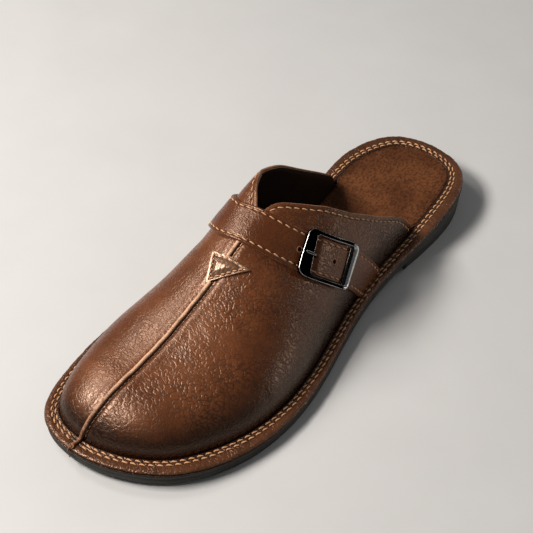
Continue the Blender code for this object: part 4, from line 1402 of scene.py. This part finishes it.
def strap_row(name, start, end, across, lift):
    along = np.linspace(start, end, 160)
    return sew(name, strap_place(along, across + 0 * along), lift(along) + STRAP_THICKNESS * 0.80)


strap_rows = [strap_row(f"strap_stitches_{name}", float(strap_end(side * STRAP_ROW, outer_side=False)),
                        STRAP_TIP - 1 * MM, side * STRAP_ROW, strap_lift) for side, name in SIDES]

# %% [markdown]
# ## The buckle's strap
#
# A shorter strap comes up from the outer side of the welt, runs flat under the buckle's pin
# and is stitched down beside it.

# %% Buckle strap
def make_buckle_strap():
    across = STRAP_ACROSS * (1 - 0.3 * MM / (STRAP_WIDTH / 2))
    end = np.array([strap_end(place, outer_side=True) for place in across]) + 0.8 * MM
    start = STRAP_TIP + GAP * 0.5
    share = np.linspace(0, 1, 60)[:, None]
    along = start + share * (end - start)
    across = np.broadcast_to(across, along.shape)
    under = np.clip((FAR_BAR_EDGE + BUCKLE_FAR_BAR - along) / (6 * MM), 0, 1)
    made = strap_sheet("buckle_chape", along, across, GAP + 0 * along - 0.1 * MM * under)
    return stands_for(made, "buckle_strap")


def sew_buckle_strap():
    start = FAR_BAR_EDGE + BUCKLE_FAR_BAR + 0.5 * MM
    return [strap_row(f"chape_stitches_{name}", start, float(strap_end(side * STRAP_ROW, outer_side=True)),
                      side * STRAP_ROW, lambda along: GAP + 0 * along) for side, name in SIDES]


buckle_chape = make_buckle_strap()
chape_rows = sew_buckle_strap()

# %% [markdown]
# ## The buckle
#
# A flat frame bent to the foot: a broad near bar, thin side bars and a round far bar with
# the pin just inside it. Each side of the section is a station from the outer edge to the
# inner one, flat over the near bar and domed over the far bar.

# %% Frame
# The bright column is a painted reflection: the rounded edges of the section are painted bright, and so is
# the round far bar.
FRAME_SECTION = table("share step flat domed bright", [
    (0.00, 0.00, 0.06, 0.06, 0.0),
    (0.00, 0.00, 0.80, 0.40, 0.0),
    (0.00, 0.05, 0.92, 0.66, 1.0),
    (0.00, 0.24, 1.00, 0.88, 1.0),
    (0.00, 0.32, 1.00, 0.98, 0.0),
    (0.32, 0.00, 0.97, 1.22, 0.0),
    (0.50, 0.00, 0.96, 1.30, 0.0),
    (0.68, 0.00, 0.97, 1.22, 0.0),
    (1.00, -0.32, 1.00, 0.98, 0.0),
    (1.00, -0.24, 1.00, 0.88, 1.0),
    (1.00, -0.05, 0.92, 0.66, 1.0),
    (1.00, 0.00, 0.80, 0.40, 0.0),
    (1.00, 0.00, 0.06, 0.06, 0.0),
])
CORNER_STEPS = 14
SIDE_STEPS = 22


def rounded_oblong(low, high, half_width, corner):
    """Lengths along and across round an oblong with round corners and divided sides."""
    places = []
    for turn, (along, across) in enumerate([(high, half_width), (low, half_width),
                                            (low, -half_width), (high, -half_width)]):
        centre = np.array([along - np.sign(along - (low + high) / 2) * corner,
                           across - np.sign(across) * corner])
        for angle in np.radians(np.linspace(turn * 90, turn * 90 + 90, CORNER_STEPS)):
            places.append(centre + corner * np.array([np.cos(angle), np.sin(angle)]))
    closed = places + places[:1]
    divided = []
    for k, (here, after) in enumerate(zip(closed, closed[1:])):
        parts = SIDE_STEPS if k % CORNER_STEPS == CORNER_STEPS - 1 else 1
        divided += [here + (after - here) * part / parts for part in range(parts)]
    return np.array(divided)


def make_frame():
    half_length, half_width = BUCKLE_LENGTH / 2, BUCKLE_WIDTH / 2
    outer = rounded_oblong(-half_length, half_length, half_width, BUCKLE_CORNER)
    inner = rounded_oblong(NEAR_BAR_EDGE, FAR_BAR_EDGE, half_width - BUCKLE_SIDE_BAR, BUCKLE_INNER_CORNER)
    loops, marks = [], []
    for share, step, flat, domed, painted_reflection_at in zip(*FRAME_SECTION.values()):
        place = outer + (inner - outer) * share + unit(inner - outer) * step * MM
        far = ease(np.clip((place[:, 0] - FAR_BAR_EDGE + 2 * MM) / (3 * MM), 0, 1))
        lift = FRAME_LIFT + BUCKLE_THICKNESS * (flat + (domed - flat) * far)
        loops.append(on_strap(place[:, 0], place[:, 1], lift))
        # Painted reflection: bright on the rounded edges and over the far bar.
        marks.append(np.maximum(painted_reflection_at * 0.9, far * 0.85))
    faces = ring_faces(len(loops), len(outer))
    wear_and_painted_reflection = {"bright": np.concatenate(marks)}
    made = build("buckle_rim", np.vstack(loops), faces, [nickel_painted_reflections], marks=wear_and_painted_reflection)
    return stands_for(made, "buckle_frame")


buckle_rim = make_frame()

# %% [markdown]
# The pin and the prong are rods with rounded ends. The prong comes up through the strap's
# hole and bends over the near bar, so its route is a short table of lengths and lifts.

# %% Pin and prong
ROD_SIDES = 16


def tube(name, centre, half_width, half_height, painted_reflection_share):
    """A rod along a line of points on the strap, with rounded ends."""
    rows = len(centre)
    forward = unit(np.gradient(centre, axis=0))
    out = np.broadcast_to(upper_normal(*strap_place(0.0, 0.0)), centre.shape)
    side = unit(np.cross(forward, out))
    up = np.cross(side, forward)
    lengths = lengths_along(centre)
    from_end = np.minimum(lengths, lengths[-1] - lengths) / (0.8 * MM)
    taper = np.sqrt(1 - (1 - np.clip(from_end, 0.05, 1)) ** 2)[:, None, None]
    turn = np.arange(ROD_SIDES) / ROD_SIDES * 2 * np.pi
    half_width = np.broadcast_to(half_width, (rows,))[:, None, None]
    loops = centre[:, None] + taper * (half_width * np.cos(turn)[None, :, None] * side[:, None]
                                       + half_height * np.sin(turn)[None, :, None] * up[:, None])
    # Painted reflection: the rod's sides are painted bright, and its top and bottom are left dark.
    wear_and_painted_reflection = {"bright": np.tile(painted_reflection_share * (0.3 + 0.7 * np.cos(turn) ** 4), rows)}
    return build(name, loops.reshape(-1, 3), rod_faces(rows, ROD_SIDES), [nickel_painted_reflections], marks=wear_and_painted_reflection)


def make_pin():
    reach = BUCKLE_WIDTH / 2 - 0.4 * MM
    across = np.linspace(-reach, reach, 40)
    centre = on_strap(PIN_AT + 0 * across, across, PIN_LIFT + 0.2 * MM)
    return tube("buckle_pin", centre, PIN_DIAMETER / 2, PIN_DIAMETER / 2, 0.10)


def make_prong():
    half = PRONG_THICKNESS / 2
    over = FRAME_LIFT + BUCKLE_THICKNESS + half - 0.05 * MM
    under = GAP + half
    route = table("along lift", [
        (STRAP_TIP - 0.5 * MM, under),
        (HOLE_AT + 2.6 * MM, under),
        (HOLE_AT + 1.0 * MM, under + 0.9 * MM),
        (HOLE_AT, (under + over) / 2),
        (HOLE_AT - 0.9 * MM, over - 0.5 * MM),
        (NEAR_BAR_EDGE - 1.0 * MM, over + 0.1 * MM),
        (NEAR_BAR_EDGE - BUCKLE_NEAR_BAR * 0.45, over + 0.05 * MM),
        (NEAR_BAR_EDGE - BUCKLE_NEAR_BAR * 0.78, over - 0.1 * MM),
    ])
    steps = np.linspace(0, len(route["along"]) - 1, 90)
    at = np.arange(len(route["along"]), dtype=float)
    along, lift = (smooth(at, route[column], steps) for column in ("along", "lift"))
    half_width = PRONG_WIDTH / 2 * np.interp(steps, [0, 5, 7], [0.86, 0.84, 0.80])
    made = tube("buckle_tongue", on_strap(along, 0 * along, lift), half_width, half, 0.5)
    return stands_for(made, "buckle_prong")


buckle_pin, buckle_tongue = make_pin(), make_prong()

# %% [markdown]
# ## The welt
#
# A strip of hide round the sole that the upper, the footbed and the outsole are sewn to. Its
# outer edge is rubbed round and shiny, its top is pulled down along two rows of stitches,
# and bending it round the toe and heel has left it rippled.

# %% Welt
WELT_ROWS = (1.5 * MM, 3.4 * MM)
# The burnish column is painted shade: the welt is darker where it runs under the upper, in the grooves of its
# two stitch rows and down its edge toward the sole, and lightest on top of its rounded edge.
WELT_SECTION = table("from_inner from_outer below burnish", [
    (-0.45, 0, 0.60, 1.0),
    (-0.10, 0, 0.10, 1.0),
    (0.55, 0, 0.08, 0.7),
    (1.05, 0, 0.25, 0.8),
    (1.50, 0, 0.42, 0.9),
    (1.95, 0, 0.22, 0.5),
    (2.45, 0, 0.06, 0.2),
    (2.90, 0, 0.22, 0.5),
    (3.40, 0, 0.42, 0.8),
    (3.90, 0, 0.18, 0.3),
    (4.50, 0, 0.00, 0.0),
    (0, 2.10, -0.06, 0.0),
    (0, 1.50, 0.02, 0.0),
    (0, 0.95, 0.16, 0.0),
    (0, 0.50, 0.42, 0.05),
    (0, 0.16, 0.82, 0.1),
    (0, 0.00, 1.30, 0.2),
    (0, 0.02, 1.85, 0.4),
    (0, 0.20, 2.35, 0.7),
    (0, 0.70, 2.80, 1.0),
    (-0.45, 0, 2.80, 1.0),
])


def ripple(place, seed, waves):
    """A gentle irregular wave of about one unit, the same every time."""
    dice = np.random.default_rng(seed)
    total = 0 * place
    for wave in waves:
        total = total + np.sin(place / wave + dice.uniform(0, 2 * np.pi)) * dice.uniform(0.6, 1.0)
    return total / len(waves)


WELT_COUNT = 960


def make_welt():
    count = WELT_COUNT
    turns = np.arange(count) / count
    width = welt_width(turns)
    arc = lengths_along(outline(np.append(turns, 1.0)))[:-1] / MM
    loops, marks = [], []
    for k, (inner, outer, below, dark) in enumerate(zip(*WELT_SECTION.values())):
        top_side = outer == 0 and below < 1
        inset = width - inner * MM if outer == 0 else np.full(count, outer * MM)
        rise = 0.32 * ripple(arc + 0.6 * k, 3, (0.55, 1.1, 1.9, 3.1)) * (0.4 if top_side else 1.0)
        rise = rise if below < 2 else 0 * arc
        inset = inset + 0.10 * MM * ripple(arc + 0.4 * k, 5, (2.3, 4.1)) * (below < 2.5)
        points = ring(turns, inset, lambda y: welt_top(y) - below * MM)
        points[:, 2] += rise * MM
        loops.append(points)
        marks.append(np.full(count, dark))
    # Painted shade from the section's last column.
    burnish = np.concatenate(marks) * 0.8
    made = build("welt_strip", np.vstack(loops), ring_faces(len(loops), count), [welt_leather],
                 marks={"burnish": burnish, "grain": 0 * burnish + 0.9})
    return stands_for(made, "welt")


def welt_row(name, from_inner, first, last):
    turns = np.linspace(first, last, 1500)
    line = ring(turns, welt_width(turns) - from_inner, lambda y: welt_top(y) - 0.22 * MM)
    up = np.tile([0.0, 0.0, 1.0], (len(line), 1))
    return stitches(name, line, up, pitch=4.3 * MM, thread=0.95 * MM, cover=0.80, lean=0.20, proud=0.34)


welt_strip = make_welt()
welt_rows = [welt_row("welt_stitches_inner", WELT_ROWS[0], 0.0085, 0.9915),
             welt_row("welt_stitches_outer", WELT_ROWS[1], 0.0065, 0.9935)]

# %% [markdown]
# ## The footbed
#
# A thick leather insole with its napped side up. It dishes under the heel, and its edge is
# rubbed down to the welt behind the quarters.

# %% Footbed
BALL_PRINT = -45
BALL_PRINT_SIZE = 38


def make_footbed():
    step_at = [np.arccos(-2 * (TOPLINE[side][-1] - 0.5)) / 2 / np.pi for side in ("outer", "inner")]
    turns = (1 - np.cos(np.linspace(0, np.pi, 190))) / 4
    insets = []
    for side, step in zip((1, -1), step_at):
        to_heel = np.clip((turns - step - 0.0005) / 0.003, 0, 1)
        insets.append(0.05 * MM + (GAP + UPPER_WALL + 0.2 * MM) * (1 - to_heel))
    outer = outline(turns, welt_width(turns) + insets[0])
    inner = outline(1 - turns, welt_width(1 - turns) + insets[1])
    across = (1 - np.cos(np.linspace(0, np.pi, 64))) / 2
    flat = inner[:, None] + (outer - inner)[:, None] * across[None, :, None]
    bottom = outsole_top(flat[..., 1]) + GAP
    from_edge = np.sin(np.pi * across)[None, :]
    length = np.sin(np.pi * turns * 2)[:, None]
    rim = np.minimum(across, 1 - across)[None, :] * np.linalg.norm(outer - inner, axis=-1)[:, None] / MM
    rim = np.minimum(rim, (1 - np.abs(2 * turns * 2 - 1))[:, None] * 100)
    top = bottom + INSOLE_THICKNESS - INSOLE_DISH * np.sqrt(from_edge * length) - 0.5 * MM * bell(rim, 0.7)
    ball = bell(np.hypot(flat[..., 0] / MM, flat[..., 1] / MM - BALL_PRINT), BALL_PRINT_SIZE)
    top = top - 0.3 * MM * ball
    # Painted shade: the footbed is darker within a few millimetres of its edge, where it meets the upper's
    # wall and the welt.
    edge = 0.75 * bell(rim, 1.0) + 0.25 * bell(rim, 4.0)
    finishes = [footbed_suede, raw_edge, raw_edge]
    made = leather_sheet("napped_footbed", np.dstack([flat, top]), np.dstack([flat, bottom]), finishes, 0.0,
                         {"burnish": edge, "grain": 0 * edge}, rim_steps=1)
    return stands_for(made, "insole")


napped_footbed = make_footbed()

# %% [markdown]
# ## The sole
#
# One moulded rubber sole with a heel block under the seat. Its corners are eased and a fine
# line runs round the side where the sole was trimmed.

# %% Outsole
SOLE_STEPS = 288
SOLE_FOOT = table("inset up", [(1.3, 0.0), (0.85, 0.12), (0.70, 0.5), (0.70, 1.0)])
SOLE_WALL = table("inset down", [
    (0.70, 2.35),
    (0.98, 2.15),
    (0.70, 1.95),
    (0.70, 0.45),
    (0.85, 0.1),
    (1.2, 0.0),
])


def lid(first, count, upward):
    """Cross strips that close an outline whose points start at first, mirrored about its tips."""
    half = count // 2
    faces = []
    for k in range(half):
        left, right = first + (count - k) % count, first + k
        next_left, next_right = first + count - k - 1, first + k + 1
        corners = [left, right, next_right, next_left]
        face = [corner for place, corner in enumerate(corners) if corner not in corners[:place]]
        faces.append(tuple(face if upward else face[::-1]))
    return faces


def stacked(rings):
    """Faces between each closed ring and the next."""
    count = len(rings[0])
    return [face for k in range(len(rings) - 1) for face in bridge(k * count, (k + 1) * count, count)]


def make_outsole():
    turns = np.arange(SOLE_STEPS) / SOLE_STEPS
    rings = [ring(turns, inset * MM, lambda y: sole_bottom(y) + up * MM)
             for inset, up in zip(*SOLE_FOOT.values())]
    rings += [ring(turns, inset * MM, lambda y: outsole_top(y) - down * MM)
              for inset, down in zip(*SOLE_WALL.values())]
    faces = lid(0, SOLE_STEPS, upward=False) + stacked(rings)
    faces += lid((len(rings) - 1) * SOLE_STEPS, SOLE_STEPS, upward=True)
    made = build("rubber_outsole", np.vstack(rings), faces, [sole_rubber])
    return stands_for(made, "outsole")


# %% Heel
HEEL_BREAST = 0.726
HEEL_STEPS = 160
HEEL_SECTION = table("inset share lift", [
    (1.4, 0, 0),
    (1.0, 0, 0.35),
    (0.4, 0.6, 0),
    (0.05, 1, -0.45),
    (0.35, 1, -0.05),
])


def make_heel():
    """The block under the seat, cut straight across at its front."""
    front = length_at(HEEL_BREAST)
    start_turn = np.arccos(-2 * front / LENGTH) / 2 / np.pi
    turns = np.linspace(start_turn, 1 - start_turn, HEEL_STEPS)
    rings = []
    for inset, share, lift in zip(*HEEL_SECTION.values()):
        points = ring(turns, OUTSOLE_SETBACK + inset * MM, lambda y: sole_bottom(y) * share + lift * MM)
        points[:, 1] = np.maximum(points[:, 1], front)
        rings.append(points)
    faces = stacked(rings)
    for first, upward in ((0, False), ((len(rings) - 1) * HEEL_STEPS, True)):
        for k in range(HEEL_STEPS // 2 - 1):
            face = (first + k, first + k + 1, first + HEEL_STEPS - 2 - k, first + HEEL_STEPS - 1 - k)
            faces.append(face if upward else face[::-1])
    made = build("rubber_heel", np.vstack(rings), faces, [sole_rubber])
    return stands_for(made, "heel")


rubber_outsole, rubber_heel = make_outsole(), make_heel()

# %% [markdown]
# ## The studio
#
# A pale plain floor and soft light. The key is a large soft box high over the toe, a little
# to the inner side, and a smaller one beside it lights the inner side of the vamp: between
# them they put the highlights beside the seam and on the strap. A weak low light opens the
# outer side, and a weak strip behind the heel draws the collar's edge.

# %% Floor and lights
floor_finish = Finish("pale_floor", Specular_IOR_Level=0.3)
floor_place = floor_finish.place()
floor_clouds = floor_finish.noise(floor_place, 60, 3.0, 0.6)
floor_finish.paint(Base_Color=floor_finish.blend(floor_clouds, (0.56, 0.555, 0.545), (0.62, 0.615, 0.605)),
                   Roughness=floor_clouds * 0.1 + 0.6)


FLOOR_REACH = 4.0
FLOOR_DROP = 0.0002


def make_floor():
    mesh = bpy.data.meshes.new("floor")
    shape = bmesh.new()
    bmesh.ops.create_grid(shape, x_segments=8, y_segments=8, size=FLOOR_REACH)
    shape.to_mesh(mesh)
    shape.free()
    mesh.materials.append(floor_finish.material)
    made = bpy.data.objects.new("floor", mesh)
    bpy.context.collection.objects.link(made)
    made.location.z = -FLOOR_DROP
    made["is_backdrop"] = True
    return made


LIGHT_AIM = Vector((0, 0, 0.03))

# Place, width, height, watts and colour of each soft box
LIGHTS = {
    "key": ((-0.46, -0.52, 0.84), 0.46, 0.26, 14.0, (1.0, 0.95, 0.90)),
    "inner_side": ((-0.66, -0.06, 0.80), 0.22, 0.22, 2.2, (1.0, 0.95, 0.90)),
    "outer_side": ((1.00, 0.60, 0.10), 0.12, 0.26, 0.75, (1.0, 0.95, 0.90)),
    "back_strip": ((0.30, 1.10, 0.60), 0.60, 0.22, 1.2, (1.0, 0.98, 0.96)),
}


def make_lights():
    for name, (place, width, height, watts, colour) in LIGHTS.items():
        light = bpy.data.lights.new(name, "AREA")
        light.shape, light.size, light.size_y = "RECTANGLE", width, height
        light.energy, light.color = watts, colour
        lamp = bpy.data.objects.new(name, light)
        bpy.context.collection.objects.link(lamp)
        lamp.location = place
        lamp.rotation_euler = (LIGHT_AIM - Vector(place)).to_track_quat("-Z", "Y").to_euler()
        print(f"{name}: {watts} watts")


floor = make_floor()
make_lights()
world = bpy.data.worlds.new("studio")
bpy.context.scene.world = world
world.use_nodes = True
sky = world.node_tree.nodes["Background"]
sky.inputs["Color"].default_value = (0.80, 0.82, 0.85, 1)
sky.inputs["Strength"].default_value = 0.15
bpy.context.scene.view_settings.view_transform = "Standard"

# %% [markdown]
# ## The two boxes
#
# The dressed shoe has to be as large as its solids. Both boxes are written down side by
# side, so a piece that has grown past the solids shows at once.

# %% Sizes
looks_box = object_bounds()
boxes = {"cad": [list(corner) for corner in cad_box], "scene": [list(corner) for corner in looks_box]}
for name, corners in boxes.items():
    print(name, "box in mm:", [[round(value / MM, 1) for value in corner] for corner in corners])
